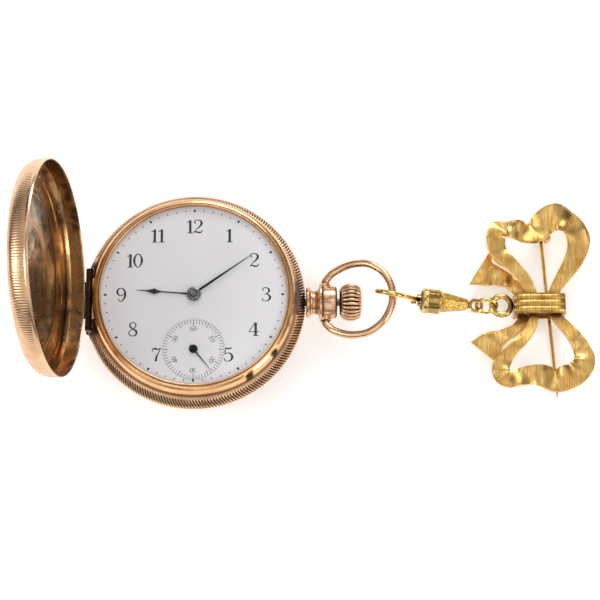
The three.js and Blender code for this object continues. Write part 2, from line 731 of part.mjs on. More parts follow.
function makeBalance() {
  const z = bridgeTop + 0.4;
  const rim = cut(arbor(...balance, z, z + 0.4, balanceRadius, 24), arbor(...balance, z - 1, z + 1, balanceRadius - 0.5, 24));
  const arm = bar(onto(balance, balanceRadius - 0.3, 20), onto(balance, balanceRadius - 0.3, 200), 0.5, z, z + 0.3);
  const staff = arbor(...balance, bridgeZ + 0.75, lowerPivot, 0.18);
  const roller = arbor(...balance, plateZ - 1.3, plateZ - 0.9, 0.6, 12);
  return join(rim, arm, staff, roller);
}

function makeHairspring() {
  const turns = 3;
  const points = [];
  const steps = turns * 8;
  for (let i = 0; i <= steps; i += 1) {
    const [x, y] = onto(balance, 0.55 + (1.5 * i) / steps, 45 * i);
    points.push([x, y, bridgeTop + 0.08]);
  }
  const strip = wire(points, 0.07, steps, 4);
  const stud = arbor(points.at(-1)[0], points.at(-1)[1], bridgeZ + 0.75, bridgeTop + 0.1, 0.12);
  return join(strip, stud);
}

node("pallet_fork", makePalletFork(), "steel");
node("balance_wheel", makeBalance(), "brass");
node("hairspring", makeHairspring(), "bluedSteel");

// ---------------------------------------------------------------- motion work and hands
const clockAngle = (turn) => 90 - 360 * turn;
const minuteAngle = clockAngle(shownMinute / 60);
const hourAngle = clockAngle((shownHour + shownMinute / 60) / 12);
const secondAngle = clockAngle(shownSecond / 60);
const hourHandZ = dialTop + 0.22;
const minuteHandZ = dialTop + 0.48;
const secondsHandZ = dialTop + 0.1;

function makeCannonPinion() {
  const leaves = gear(0, 0, plateTop + shake, plateTop + 0.45, cannonGear.teeth, cannonGear.module, 45, true);
  const tube = arbor(0, 0, plateTop + shake, minuteHandZ + handThick, 0.48, 10);
  return cut(join(leaves, tube), arbor(0, 0, plateTop - 1, minuteHandZ + 1, 0.34));
}

function makeMinuteWheel() {
  const wheel = gear(...minutePost, plateTop + 0.1, plateTop + 0.35, minuteGear.teeth, minuteGear.module, 225);
  const leaves = gear(...minutePost, plateTop + 0.3, plateTop + 0.85, minutePinion.teeth, minutePinion.module, 225);
  return cut(join(wheel, leaves), arbor(...minutePost, plateTop - 1, plateTop + 2, 0.22));
}

function makeHourWheel() {
  const wheel = gear(0, 0, plateTop + 0.55, plateTop + 0.8, hourGear.teeth, hourGear.module, 45, true);
  const tube = arbor(0, 0, plateTop + 0.55, hourHandZ + handThick, 0.8, 12);
  return cut(join(wheel, tube), arbor(0, 0, plateTop - 1, hourHandZ + 1, 0.6, 12));
}

node("cannon_pinion", makeCannonPinion(), "steel");
node("minute_wheel", makeMinuteWheel(), "brass");
node("hour_wheel", makeHourWheel(), "brass");

// A hand lies along +X from its hub as [distance, half width] pairs, then turns to its angle.
function hand(place, widths, z, angle, hubRadius, holeRadius, hubTop) {
  const upper = widths.map(([x, half]) => [x, half]);
  const lower = widths.map(([x, half]) => [x, -half]).reverse();
  const blade = plate(outlineOf([...upper, ...lower]), z, z + handThick).rotate([0, 0, angle]);
  const hub = arbor(0, 0, z, hubTop, hubRadius, 14);
  const whole = join(hub, blade).translate(place[0], place[1], 0);
  return holeRadius ? cut(whole, arbor(...place, z - 1, z + handThick + 0.02, holeRadius, 12)) : whole;
}

const hourShape = [
  [0, 0.22],
  [4.9, 0.16],
  [5.4, 0.24],
  [6.3, 0.42],
  [7.0, 0.34],
  [7.6, 0.14],
  [hourHandLength, 0.03],
];
const minuteShape = [[-1.8, 0.2], [0, 0.2], [6.5, 0.26], [9.6, 0.16], [minuteHandLength, 0.03]];
const secondsShape = [[-1.5, 0.16], [0, 0.1], [secondsHandLength, 0.04]];

node("hour_hand", hand(centre, hourShape, hourHandZ, hourAngle, 1.0, 0.85, hourHandZ + handThick), "bluedSteel");
const minuteTop = minuteHandZ + handThick + 0.25;
node("minute_hand", hand(centre, minuteShape, minuteHandZ, minuteAngle, 1.0, 0.52, minuteTop), "bluedSteel");
node("seconds_hand", hand(fourth, secondsShape, secondsHandZ, secondAngle, 0.66, 0, secondsHandZ + 0.2), "bluedSteel");

// ---------------------------------------------------------------- keyless work, catch and springs
const pinionX = [crownWheelPlace[0] + 2.75, crownWheelPlace[0] + 3.9];
const stemInnerX = crownWheelPlace[0] + 1.6;

function makeWindingPinion() {
  const teeth = 16;
  const points = [];
  for (let i = 0; i < 2 * teeth; i += 1) {
    points.push(polar(i % 2 ? windingPinionRadius - 0.5 : windingPinionRadius - 0.02, (180 / teeth) * i));
  }
  const wheel = plate(outlineOf(points), 0, pinionX[1] - pinionX[0]).rotate([0, 90, 0]).translate(pinionX[0], 0, stemZ);
  return cut(wheel, rodBetween([pinionX[0] - 1, 0, stemZ], [pinionX[1] + 1, 0, stemZ], 0.5, 4));
}

function makeStem() {
  const square = rodBetween([stemInnerX, 0, stemZ], [pinionX[1] + 0.6, 0, stemZ], 0.42, 4);
  return join(square, rodBetween([pinionX[1] + 0.5, 0, stemZ], [crownX + 2.2, 0, stemZ], stemRadius, 12));
}

function makeCrown() {
  const end = crownX + crownLength;
  const r = crownRadius;
  const outside = [
    [r - 0.75, crownX],
    [r - 0.28, crownX + 0.22],
    [r - 0.05, crownX + 0.75],
    [r, crownX + crownLength / 2],
    [r - 0.08, end - 0.75],
    [r - 0.45, end - 0.22],
    [r - 1.1, end],
  ];
  const recess = [[r - 0.95, crownX + 1.0], [r - 0.95, crownX]];
  const bore = stemRadius + shake;
  const profile = [[0, crownX + 2.3], [bore, crownX + 2.3], [bore, crownX + 1.0], ...recess, ...outside, [0, end]];
  const points = profile.map(([radius, x]) => new THREE.Vector2(radius, x));
  const made = new THREE.LatheGeometry(points, crownFlutes * 2);
  const place = made.getAttribute("position");
  for (let i = 0; i < place.count; i += 1) {
    const radius = Math.hypot(place.getX(i), place.getZ(i));
    const reeded = radius > r - 0.6 && place.getY(i) > crownX + 0.1 && place.getY(i) < end - 0.1;
    const turn = Math.atan2(place.getZ(i), place.getX(i));
    const depth = reeded ? 0.12 * (1 - Math.cos(crownFlutes * turn)) : 0;
    place.setX(i, (place.getX(i) * (radius - depth)) / Math.max(radius, 1e-6));
    place.setZ(i, (place.getZ(i) * (radius - depth)) / Math.max(radius, 1e-6));
  }
  return solid(made.rotateZ(-Math.PI / 2).translate(0, 0, stemZ));
}

function makePendant() {
  const r = neckRadius;
  const x = neckStart;
  const outside = [
    [r + 0.35, x],
    [r + 0.3, x + 0.4],
    [r, x + 0.7],
    [r, flangeX - 0.35],
    [flangeRadius, flangeX],
    [flangeRadius, collarX],
    [collarRadius, collarX + 0.05],
    [collarRadius, collarEnd - 0.4],
    [collarRadius - 0.5, collarEnd],
    [1.5, collarEnd],
    [1.5, collarEnd + 0.4],
  ];
  const bore = stemRadius + runningFit;
  const body = turnedOnStem([...outside, [bore, collarEnd + 0.4], [bore, x]]);
  const boss = (side) =>
    rodBetween([bowPivotX, side * 1.6, stemZ], [bowPivotX, side * bossReach, stemZ], bossRadius, 12);
  const socket = (side) =>
    rodBetween([bowPivotX, side * 1.7, stemZ], [bowPivotX, side * 4, stemZ], bowPinRadius + runningFit, 8);
  return cut(join(body, boss(1), boss(-1)), socket(1), socket(-1));
}

node("pendant", makePendant(), "roseGold");
node("crown", makeCrown(), "roseGold");
node("winding_stem", makeStem(), "steel");
node("winding_pinion", makeWindingPinion(), "steel");
node("crown_wheel", cut(windingWheel(crownWheelPlace), arbor(...crownWheelPlace, 0, 9, 0.62, 12)), "steel");

function makeCrownWheelScrew() {
  const top = windingWheelZ;
  const head = arbor(...crownWheelPlace, top - 0.25, top - shake, 1.2, 16);
  return join(head, arbor(...crownWheelPlace, top - 0.1, bridgeZ - shake, 0.5, 12));
}

node("crown_wheel_screw", makeCrownWheelScrew(), "steel");

// The click is a pawl beside the ratchet wheel, on the barrel bridge.
const clickPost = onto(barrel, ratchetRadius + 1.5, 120);

function makeClick() {
  const nose = onto(barrel, ratchetRadius + 0.62, 96);
  const blank = bar(clickPost, nose, 0.7, windingWheelZ + 0.05, windingWheelZ + windingWheelThick - 0.02);
  return cut(blank, arbor(...clickPost, 0, 9, 0.22));
}

node("click", makeClick(), "steel");

function makeClickScrew() {
  const head = arbor(...clickPost, windingWheelZ - 0.25, windingWheelZ, 0.5, 12);
  return join(head, arbor(...clickPost, windingWheelZ - 0.1, bridgeZ - shake, 0.14));
}

node("click_screw", makeClickScrew(), "steel");

// Two springs curve through the channel of the case middle: one lifts the front cover, one locks it.
function arcStrip(fromDegrees, toDegrees, inner, outer, z0, z1) {
  const outline = new THREE.Shape();
  outline.absarc(0, 0, outer, radians(fromDegrees), radians(toDegrees), false);
  outline.absarc(0, 0, inner, radians(toDegrees), radians(fromDegrees), true);
  return plate(outline, z0, z1, 6);
}

const springInner = channelInner + 0.12;
const springOuter = springInner + 0.3;
const springLow = ringTop - 1.75;
const springHigh = ringTop - 0.68;

node("lift_spring", arcStrip(100, 172, springInner, springOuter, springLow, springHigh), "steel");

function makeCatch() {
  const strip = arcStrip(-14.5, 14.5, springInner, springOuter, springHigh - 0.45, springHigh);
  const nose = box(springInner + 0.25, bezelOuter + 0.08, -1.0, 1.0, springHigh - 0.35, ringTop + 0.04);
  return join(strip, nose);
}

node("lid_catch", makeCatch(), "steel");

function caseScrew(degrees) {
  const [x, y] = polar(plateRadius - 0.35, degrees);
  const low = seatTop - seatThick;
  return arbor(x, y, low - 0.35, low - 0.03, 0.75, 12);
}

node("case_screw_upper", caseScrew(75), "steel");
node("case_screw_lower", caseScrew(-75), "steel");

// ---------------------------------------------------------------- bow
const bowGroup = new THREE.Group();
bowGroup.position.set(bowPivotX, 0, stemZ);
bowGroup.rotation.y = -radians(bowTilt);
watch.add(bowGroup);

function makeBow() {
  const middle = bowReach - bowRingRadius;
  const start = bossReach + shake + 0.02;
  const half = [[0, start, 0], [0.02, start + 0.22, 0], [0.42, start + 0.78, 0], [1.3, start + 1.55, 0]];
  const arc = [];
  for (let degrees = 112; degrees >= -112; degrees -= 28) {
    const [x, y] = polar(bowRingRadius, degrees);
    arc.push([middle + x, y, 0]);
  }
  const points = [...half, ...arc.slice(1, -1), ...half.map(([x, y, z]) => [x, -y, z]).reverse()];
  const pins = [1, -1].map((side) => rodBetween([0, side * 1.95, 0], [0, side * (start + 0.15), 0], bowPinRadius, 12));
  return join(wire(points, bowWireRadius, 30, 8), ...pins);
}

node("bow", makeBow(), "roseGold", bowGroup);

// ---------------------------------------------------------------- swivel clasp
const bowEnd = {
  x: bowPivotX + bowReach * Math.cos(radians(bowTilt)),
  z: stemZ + bowReach * Math.sin(radians(bowTilt)),
};
const hookY = 0.35;
const barrelStart = [bowEnd.x + 4.75, hookY + 0.1, 4.55];
const eyePlace = [barrelStart[0] + swivelBarrelLength + swivelConeLength + eyeRingRadius + 0.1, 0, chainHeight];

function makeHook() {
  const { x, z } = bowEnd;
  const points = [
    [barrelStart[0] - 0.25, barrelStart[1], barrelStart[2] + 0.35],
    [x + 3.4, hookY, z - 2.1],
    [x + 2.0, hookY, z + 0.3],
    [x + 0.6, hookY, z + 1.5],
    [x - 1.0, hookY, z + 1.5],
    [x - 2.1, hookY + 0.1, z + 0.5],
    [x - 2.3, hookY + 0.2, z - 0.8],
    [x - 1.9, hookY + 0.25, z - 1.6],
  ];
  const base = rodBetween([barrelStart[0] - 0.75, barrelStart[1], barrelStart[2] + 0.05],
    [barrelStart[0] - 0.1, barrelStart[1], barrelStart[2]], 1.0, 16);
  return join(wire(points, hookWireRadius, 22, 6), base);
}

const gatePivot = [barrelStart[0] - 1.3, hookY, barrelStart[2] - 0.05];

function makeGate() {
  const { x, z } = bowEnd;
  const knuckle = rodBetween([gatePivot[0], hookY - 0.45, gatePivot[2]], [gatePivot[0], hookY + 0.45, gatePivot[2]], 0.42, 12);
  const points = [gatePivot, [x + 1.4, hookY + 0.05, z - 3.3], [x - 0.3, hookY + 0.15, z - 2.75], [x - 1.6, hookY + 0.25, z - 2.45]];
  return join(knuckle, wire(points, gateWireRadius, 10, 6));
}

function makeSwivelBarrel() {
  const length = swivelBarrelLength;
  const r = swivelBarrelRadius;
  const profile = [
    [0, 0.02],
    [r - 0.5, 0.02],
    [r, 0.45],
    [r, length - 0.3],
    [r - 0.35, length],
    [r * 0.55, length + 0.6],
    [r * 0.32, length + swivelConeLength * 0.65],
    [0.4, length + swivelConeLength],
    [0, length + swivelConeLength],
  ];
  const points = profile.map(([radius, x]) => new THREE.Vector2(radius, x));
  const body = new THREE.LatheGeometry(points, 16).rotateZ(-Math.PI / 2);
  const start = new THREE.Vector3(...barrelStart);
  const toEye = new THREE.Vector3(...eyePlace).sub(start).normalize();
  body.applyQuaternion(new THREE.Quaternion().setFromUnitVectors(new THREE.Vector3(1, 0, 0), toEye));
  const placed = solid(body.translate(...barrelStart));
  return join(placed, ring(...eyePlace, eyeRingRadius, eyeWireRadius, 14));
}

node("swivel_hook", makeHook(), "yellowGold");
node("swivel_gate", makeGate(), "yellowGold");
node("swivel_barrel", makeSwivelBarrel(), "yellowGold");

const linkStartX = eyePlace[0] + 0.08;
const linkEndX = linkStartX + 2 * linkHalfLength;
const linkMiddle = [(linkStartX + linkEndX) / 2, 0, chainHeight];

// An oval ring: a round one whose two halves are drawn apart along X, then tilted about X.
function makeLink() {
  const oval = new THREE.TorusGeometry(linkHalfWidth, linkWireRadius, 6, 20);
  const place = oval.getAttribute("position");
  const stretch = linkHalfLength - linkHalfWidth;
  for (let i = 0; i < place.count; i += 1) {
    const turn = Math.atan2(place.getY(i), place.getX(i));
    place.setX(i, place.getX(i) + stretch * Math.cos(turn));
  }
  return solid(oval.rotateX(radians(90 - linkTilt)).translate(...linkMiddle));
}

node("jump_link", makeLink(), "yellowGold");

// ---------------------------------------------------------------- bow brooch
const bailX = linkEndX - 0.34 + bailRingRadius - bailWireRadius;
const knotX = bailX + bailRingRadius + bailWireRadius + 0.04 + knotLength / 2;
const loopHeight = tailHeight + tailThick + shake;
const loopTop = loopHeight + loopThick;
const place = ([x, y]) => [knotX + x, y];

function ribbon(outer, inner, z0, z1) {
  const outline = smoothOutline(outer.map(place), 36);
  if (inner) outline.holes.push(smoothOutline(inner.map(place), 24));
  return plate(outline, z0, z1);
}

node("brooch_bail", ring(bailX, 0, chainHeight, bailRingRadius, bailWireRadius, 18), "yellowGold");

const upperLoopOuter = [
  [-1, 0.55], [-1.3, 2.2], [-4.4, 4.9], [-7.3, 8.1], [-7.9, 11.2], [-6.4, 13.5], [-4, 13.9], [-0.6, 13.3],
  [1.6, 15.4], [4.2, 16.5], [6.9, 14.9], [8.4, 11.8], [7.6, 8], [4.9, 4.2], [3.1, 1.9], [2.8, 0.55],
];
const upperLoopInner = [[1.2, 3.2], [3.3, 4.6], [4.9, 8.4], [4.3, 11.2], [2.3, 11.8], [0.2, 9.9], [-2.8, 10.7], [-4.7, 9.4], [-3.2, 6.8], [-1, 4]];
const lowerLoopOuter = [
  [-1, -0.55], [-1.4, -2.2], [-4.4, -6], [-7.4, -9.4], [-7.9, -12.2], [-6.4, -13.4], [-3.4, -12.9], [-1, -13],
  [1.6, -14.4], [4.4, -13.9], [7.2, -11.5], [8, -8.6], [6.3, -5.2], [4.4, -2.9], [3.1, -1.8], [2.8, -0.55],
];
const lowerLoopInner = [[1.2, -2.4], [3.2, -3.6], [4.6, -6.4], [4.4, -9.1], [2.2, -10.6], [-0.4, -9.8], [-2.9, -10.3], [-4.9, -9.7], [-3.9, -7.4], [-1.2, -3.9]];

node("ribbon_loop_upper", ribbon(upperLoopOuter, upperLoopInner, loopHeight, loopTop), "yellowGold");
node("ribbon_loop_lower", ribbon(lowerLoopOuter, lowerLoopInner, loopHeight, loopTop), "yellowGold");

const upperTail = [[-1, 0.3], [-3.2, 0.3], [-3.3, 1.8], [-4.6, 2.9], [-7.4, 3.6], [-11.2, 3.9], [-9, 6.6], [-7.1, 8.5], [-6.9, 6.5], [-4.6, 4.8], [-1.4, 2.2]];
const lowerTail = [[-1, -0.3], [-1.4, -1.6], [-3, -4], [-5.4, -5.4], [-6.4, -7.2], [-6.6, -8.9], [-8.4, -7.6], [-11.1, -6.8], [-9.2, -5.2], [-6.2, -4.2], [-4.3, -3.3], [-3.2, -1.9], [-3.2, -0.3]];

function tail(points) {
  return plate(outlineOf(points.map(place)), tailHeight, tailHeight + tailThick);
}

node("ribbon_tail_upper", tail(upperTail), "yellowGold");
node("ribbon_tail_lower", tail(lowerTail), "yellowGold");

function makeKnot() {
  const half = knotLength / 2;
  const low = tailHeight - shake - knotWall;
  const high = loopTop + shake + knotWall + 0.2;
  const outline = new THREE.Shape();
  outline.moveTo(-half + 0.2, low);
  outline.lineTo(half - 0.2, low);
  outline.lineTo(half, low + 0.5);
  outline.lineTo(half, high - 1.1);
  outline.quadraticCurveTo(half, high - 0.35, half - 1, high - 0.2);
  outline.quadraticCurveTo(0, high + 0.2, -half + 1, high - 0.2);
  outline.quadraticCurveTo(-half, high - 0.35, -half, high - 1.1);
  outline.lineTo(-half, low + 0.5);
  const band = plate(outline, -knotWidth / 2, knotWidth / 2, 5).rotate([90, 0, 0]).translate(knotX, 0, 0);
  return cut(band, box(knotX - 3.35, knotX + 3.35, -4, 4, tailHeight - shake, loopTop + shake));
}

node("knot_band", makeKnot(), "yellowGold");

// Pin joint under the upper loop, catch under the lower one, and the stem between them.
const pinTop = [knotX + 1.0, 12.0];
const pinTip = [knotX + 2.6, -14.6];

function makePinJoint() {
  const [x, y] = pinTop;
  const base = box(x - 1.3, x + 1.3, y - 0.9, y + 1.3, 1.75, loopHeight - shake);
  const ears = [-1, 1].map((side) => box(x + side * 0.85 - 0.3, x + side * 0.85 + 0.3, y - 0.7, y + 0.7, 0.15, 1.8));
  return join(base, ...ears);
}

function makePinStem() {
  const [x, y] = pinTop;
  const knuckle = rodBetween([x - 0.45, y, pinHeight], [x + 0.45, y, pinHeight], 0.55, 12);
  const stem = rodBetween([x, y, pinHeight], [pinTip[0] - 0.1, pinTip[1] + 1.6, pinHeight], pinStemRadius, 8);
  const point = new THREE.ConeGeometry(pinStemRadius, 1.7, 8).rotateX(Math.PI);
  const tip = solid(point.translate(pinTip[0] - 0.08, pinTip[1] + 0.8, pinHeight));
  return join(knuckle, stem, tip);
}

function makePinCatch() {
  const along = (pinTip[0] - pinTop[0]) / (pinTip[1] - pinTop[1]);
  const y = -12.4;
  const x = pinTop[0] + along * (y - pinTop[1]);
  const base = box(x - 1.1, x + 1.1, y - 0.7, y + 0.7, 1.75, loopHeight - shake);
  const cheeks = [-1, 1].map((side) => box(x + side * 0.62 - 0.17, x + side * 0.62 + 0.17, y - 0.6, y + 0.6, 0.2, 1.8));
  return join(base, ...cheeks);
}

node("pin_joint", makePinJoint(), "yellowGold");
node("pin_stem", makePinStem(), "steel");
node("pin_catch", makePinCatch(), "yellowGold");

export default watch;
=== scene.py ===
# %% [markdown]
# # A hunter pocket watch, open, on a ribbon brooch
# The watch lies on its back with the front cover standing open, and a swivel clasp joins its bow
# to a bow-shaped brooch. The CAD model is loaded first as a fixed frame, and every new piece is
# built round it in the same place, so nothing has to be fitted by eye.

# %% Load the frame
import json
import math

import bmesh
import bpy
from mathutils import Matrix, Vector

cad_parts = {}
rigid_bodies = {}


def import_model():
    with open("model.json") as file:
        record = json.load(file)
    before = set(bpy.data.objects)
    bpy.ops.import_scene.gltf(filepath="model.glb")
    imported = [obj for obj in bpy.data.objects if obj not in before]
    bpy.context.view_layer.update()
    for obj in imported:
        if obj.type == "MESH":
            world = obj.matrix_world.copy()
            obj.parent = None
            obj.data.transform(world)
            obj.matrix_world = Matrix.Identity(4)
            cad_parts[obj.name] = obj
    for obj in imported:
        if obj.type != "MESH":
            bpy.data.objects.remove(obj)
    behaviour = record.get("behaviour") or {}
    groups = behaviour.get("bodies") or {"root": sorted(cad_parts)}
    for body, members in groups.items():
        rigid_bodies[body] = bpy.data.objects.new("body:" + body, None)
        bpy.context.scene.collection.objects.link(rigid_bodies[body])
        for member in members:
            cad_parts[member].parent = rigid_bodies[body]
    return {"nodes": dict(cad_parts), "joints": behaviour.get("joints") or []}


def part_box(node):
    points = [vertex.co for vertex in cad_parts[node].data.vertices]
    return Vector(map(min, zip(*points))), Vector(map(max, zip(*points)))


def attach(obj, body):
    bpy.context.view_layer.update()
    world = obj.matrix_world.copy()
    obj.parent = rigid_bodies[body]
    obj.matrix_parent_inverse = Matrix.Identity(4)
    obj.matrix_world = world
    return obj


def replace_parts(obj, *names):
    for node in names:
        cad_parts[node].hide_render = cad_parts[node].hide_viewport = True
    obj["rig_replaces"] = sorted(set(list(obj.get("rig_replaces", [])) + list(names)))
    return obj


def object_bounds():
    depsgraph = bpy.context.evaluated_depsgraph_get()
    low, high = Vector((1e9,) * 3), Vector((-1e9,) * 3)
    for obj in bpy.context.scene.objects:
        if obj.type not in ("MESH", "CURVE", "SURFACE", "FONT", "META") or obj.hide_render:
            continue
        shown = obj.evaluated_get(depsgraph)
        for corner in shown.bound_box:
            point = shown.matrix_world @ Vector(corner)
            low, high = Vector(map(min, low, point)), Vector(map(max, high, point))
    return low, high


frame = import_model()
cad_low, cad_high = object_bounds()
MM = 0.001  # pieces are drawn in millimetres and made metres when they are finished
print("CAD box in mm:", [round((b - a) / MM, 1) for a, b in zip(cad_low, cad_high)])

# %% [markdown]
# ## Camera
# A long lens from high above flattens the watch as a catalogue picture does. The camera could be
# aimed with a constraint, but three plain angles say the same and are easy to change. It looks
# down at the dial, 17 degrees from upright, from the 6 o'clock side.

# %% Camera
scene = bpy.context.scene
scene.view_settings.view_transform = "Standard"
camera_data = bpy.data.cameras.new("watch_camera")
camera_data.lens = 120
camera_data.sensor_width = 36
camera_data.clip_start = 0.01
camera_data.clip_end = 10
camera = bpy.data.objects.new("watch_camera", camera_data)
camera.location = Vector((14.89, -91.5, 304.24)) * MM
camera.rotation_euler = [math.radians(a) for a in (17.08, -0.2, -0.28)]
scene.collection.objects.link(camera)
scene.camera = camera
print("camera", [round(c, 3) for c in camera.location])

# %% [markdown]
# ## Measures
# A few sizes of the frame shape most pieces: heights come from the boxes of the CAD nodes, and the
# radii of the turned parts from their widths. Reading them keeps every piece in place if the CAD
# changes.

# %% Measures from the frame
def corners(node):
    """Lowest and highest corner of a CAD node, in millimetres."""
    low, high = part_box(node)
    return low / MM, high / MM


band_low, band_high = corners("case_middle")
bezel_low, bezel_high = corners("bezel")
dial_low, dial_high = corners("dial")
glass_low, glass_high = corners("glass")
crown_low, crown_high = corners("crown")
pendant_low, pendant_high = corners("pendant")
knot_low, knot_high = corners("knot_band")
band_radius = band_high.y
bezel_radius = bezel_high.y
dial_radius = dial_high.y
dial_top = dial_high.z
ring_top = bezel_low.z - 0.05  # the bezel sits this far above the case ring
stem_z = (crown_low.z + crown_high.z) / 2
ring_low = stem_z - 0.8
knot_x = (knot_low.x + knot_high.x) / 2
print(f"band r {band_radius:.2f}, bezel r {bezel_radius:.2f}, dial top {dial_top:.2f}, ring {ring_low:.2f}-{ring_top:.2f}")

# %% [markdown]
# ## Making and finishing a piece
# Most of the watch is turned work, so the main helper takes half a cross-section and spins it.
# A screw modifier would do the same, but the spin operator leaves a plain mesh whose points can
# still be pushed into grooves. Each finished mesh gets smooth shading with sharp corners kept,
# its CAD body to ride on and the CAD nodes it stands for.

# %% Helpers that make shapes
def turned(outline, steps=96, rounding=0.0, keep=(), sweep=360.0):
    """Spins [radius, height] points about Z. The outline closes on itself unless it starts on the axis."""
    bm = bmesh.new()
    verts = [bm.verts.new((r, 0, h)) for r, h in outline]
    pairs = list(zip(verts, verts[1:]))
    on_axis = outline[0][0] == 0
    if not on_axis:
        pairs.append((verts[-1], verts[0]))
    for pair in pairs:
        bm.edges.new(pair)
    if rounding:
        corner_verts = [v for i, v in enumerate(verts) if v.co.x > 0 and i not in keep]
        bmesh.ops.bevel(bm, geom=corner_verts, offset=rounding, offset_type="OFFSET", segments=3,
                        profile=0.5, affect="VERTICES", material=-1)
    if sweep < 360:
        bmesh.ops.rotate(bm, cent=(0, 0, 0), matrix=Matrix.Rotation(math.radians(-sweep / 2), 3, "Z"), verts=bm.verts[:])
    bmesh.ops.spin(bm, geom=bm.verts[:] + bm.edges[:], cent=(0, 0, 0), axis=(0, 0, 1),
                   angle=math.radians(sweep), steps=steps, use_merge=sweep == 360)
    bmesh.ops.remove_doubles(bm, verts=bm.verts[:], dist=1e-4)
    if sweep < 360:
        bmesh.ops.holes_fill(bm, edges=bm.edges[:], sides=0)
    bm.verts.layers.float.new("grime_and_shade")
    return bm


def along_x(bm, x=0.0, y=0.0, z=0.0):
    """Lays a turned shape down so that its heights run along X, then moves it."""
    bmesh.ops.rotate(bm, cent=(0, 0, 0), matrix=Matrix.Rotation(math.radians(90), 3, "Y"), verts=bm.verts[:])
    bmesh.ops.translate(bm, vec=(x, y, z), verts=bm.verts[:])
    return bm


def block(low, high, rounding=0.1, segments=2):
    """A rounded block between two corners."""
    bm = bmesh.new()
    bmesh.ops.create_cube(bm, size=1)
    low, high = Vector(low), Vector(high)
    bmesh.ops.scale(bm, vec=high - low, verts=bm.verts[:])
    bmesh.ops.translate(bm, vec=(low + high) / 2, verts=bm.verts[:])
    bmesh.ops.bevel(bm, geom=bm.edges[:], offset=rounding, offset_type="OFFSET", segments=segments,
                    profile=0.5, affect="EDGES", material=-1)
    bm.verts.layers.float.new("grime_and_shade")
    return bm


def wire(points, closed=False, sides=3, steps=8, turn=0.0, straight=False):
    """A smooth round wire through [x, y, z, radius] points; sides is the section's resolution."""
    curve = bpy.data.curves.new("wire", "CURVE")
    curve.dimensions = "3D"
    curve.bevel_depth = 1
    curve.bevel_resolution = sides
    curve.resolution_u = steps
    curve.use_fill_caps = True
    spline = curve.splines.new("BEZIER")
    spline.bezier_points.add(len(points) - 1)
    spline.use_cyclic_u = closed
    for knot, (x, y, z, radius) in zip(spline.bezier_points, points):
        knot.co = (x, y, z)
        knot.radius = radius
        knot.tilt = math.radians(turn)
        knot.handle_left_type = knot.handle_right_type = "VECTOR" if straight else "AUTO"
    route = bpy.data.objects.new("wire", curve)
    scene.collection.objects.link(route)
    bpy.context.view_layer.update()
    mesh = bpy.data.meshes.new_from_object(route.evaluated_get(bpy.context.evaluated_depsgraph_get()))
    bm = bmesh.new()
    bm.from_mesh(mesh)
    bpy.data.objects.remove(route)
    bpy.data.curves.remove(curve)
    bpy.data.meshes.remove(mesh)
    bm.verts.layers.float.new("grime_and_shade")
    return bm


def welded(*shapes):
    """Several shapes as one mesh."""
    mesh = bpy.data.meshes.new("joined")
    whole = shapes[0]
    for shape in shapes[1:]:
        shape.to_mesh(mesh)
        whole.from_mesh(mesh)
        shape.free()
    bpy.data.meshes.remove(mesh)
    return whole


# %% [markdown]
# Old gold keeps dark grime wherever a cloth can't reach, and its hollows and folds also lie in shade;
# both are painted into the colour as one darkening. Painting it by hand would take a texture,
# so each point stores how deep it lies instead, and the finishes read that as an attribute.

# %% Painted grime and shade, reeding and the finished piece
def soil(bm, how_dark):
    """Stores grime and painted shade from 0 to 1 at each point, from a rule on its place."""
    grime_and_shade = bm.verts.layers.float["grime_and_shade"]
    for vert in bm.verts:
        vert[grime_and_shade] = max(vert[grime_and_shade], min(1.0, how_dark(vert.co)))
    return bm


def reeded(bm, count, depth, lean, share, middle, darkening=1.0):
    """Presses leaning grooves into a turned blank and puts grime and painted shade in their bottoms. share says how
    much of the depth a place gets.
    """
    grime_and_shade = bm.verts.layers.float["grime_and_shade"]
    for vert in bm.verts:
        radius = math.hypot(vert.co.x, vert.co.y)
        around = math.atan2(vert.co.y, vert.co.x)
        here = share(radius, vert.co.z, around)
        wave = 0.5 + 0.5 * math.cos(count * around)
        if here > 0:
            factor = (radius - depth * here * wave) / radius
            vert.co.x *= factor
            vert.co.y *= factor
            vert[grime_and_shade] = max(vert[grime_and_shade], darkening * here * wave)
        angle = math.radians(lean) * (vert.co.z - middle)
        vert.co = Matrix.Rotation(angle, 3, "Z") @ vert.co
    return bm


def finished(name, bm, body, finish, stands_for=(), sharp=35.0):
    """Makes the shape a named object in metres that rides on its CAD body."""
    bmesh.ops.remove_doubles(bm, verts=bm.verts[:], dist=2e-4)
    bmesh.ops.recalc_face_normals(bm, faces=bm.faces[:])
    bmesh.ops.scale(bm, vec=(MM, MM, MM), verts=bm.verts[:])
    mesh = bpy.data.meshes.new(name)
    bm.to_mesh(mesh)
    bm.free()
    mesh.polygons.foreach_set("use_smooth", [True] * len(mesh.polygons))
    mesh.set_sharp_from_angle(angle=math.radians(sharp))
    mesh.materials.append(finish)
    piece = bpy.data.objects.new(name, mesh)
    scene.collection.objects.link(piece)
    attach(piece, body)
    if stands_for:
        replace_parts(piece, *stands_for)
    print(f"{name}: {len(mesh.polygons)} faces on {body}")
    return piece


# %% [markdown]
# ## Finishes
# Every finish is a Principled shader with noise for wear. Two small helpers turn the hex colours
# to the linear values that Blender works in, and add a node with its settings and links.

# %% Colour and node helpers
def paint(hex_colour):
    """An sRGB hex colour as linear RGBA."""
    parts = [int(hex_colour[i : i + 2], 16) / 255 for i in (1, 3, 5)]
    linear = [p / 12.92 if p <= 0.04045 else ((p + 0.055) / 1.055) ** 2.4 for p in parts]
    return (*linear, 1.0)


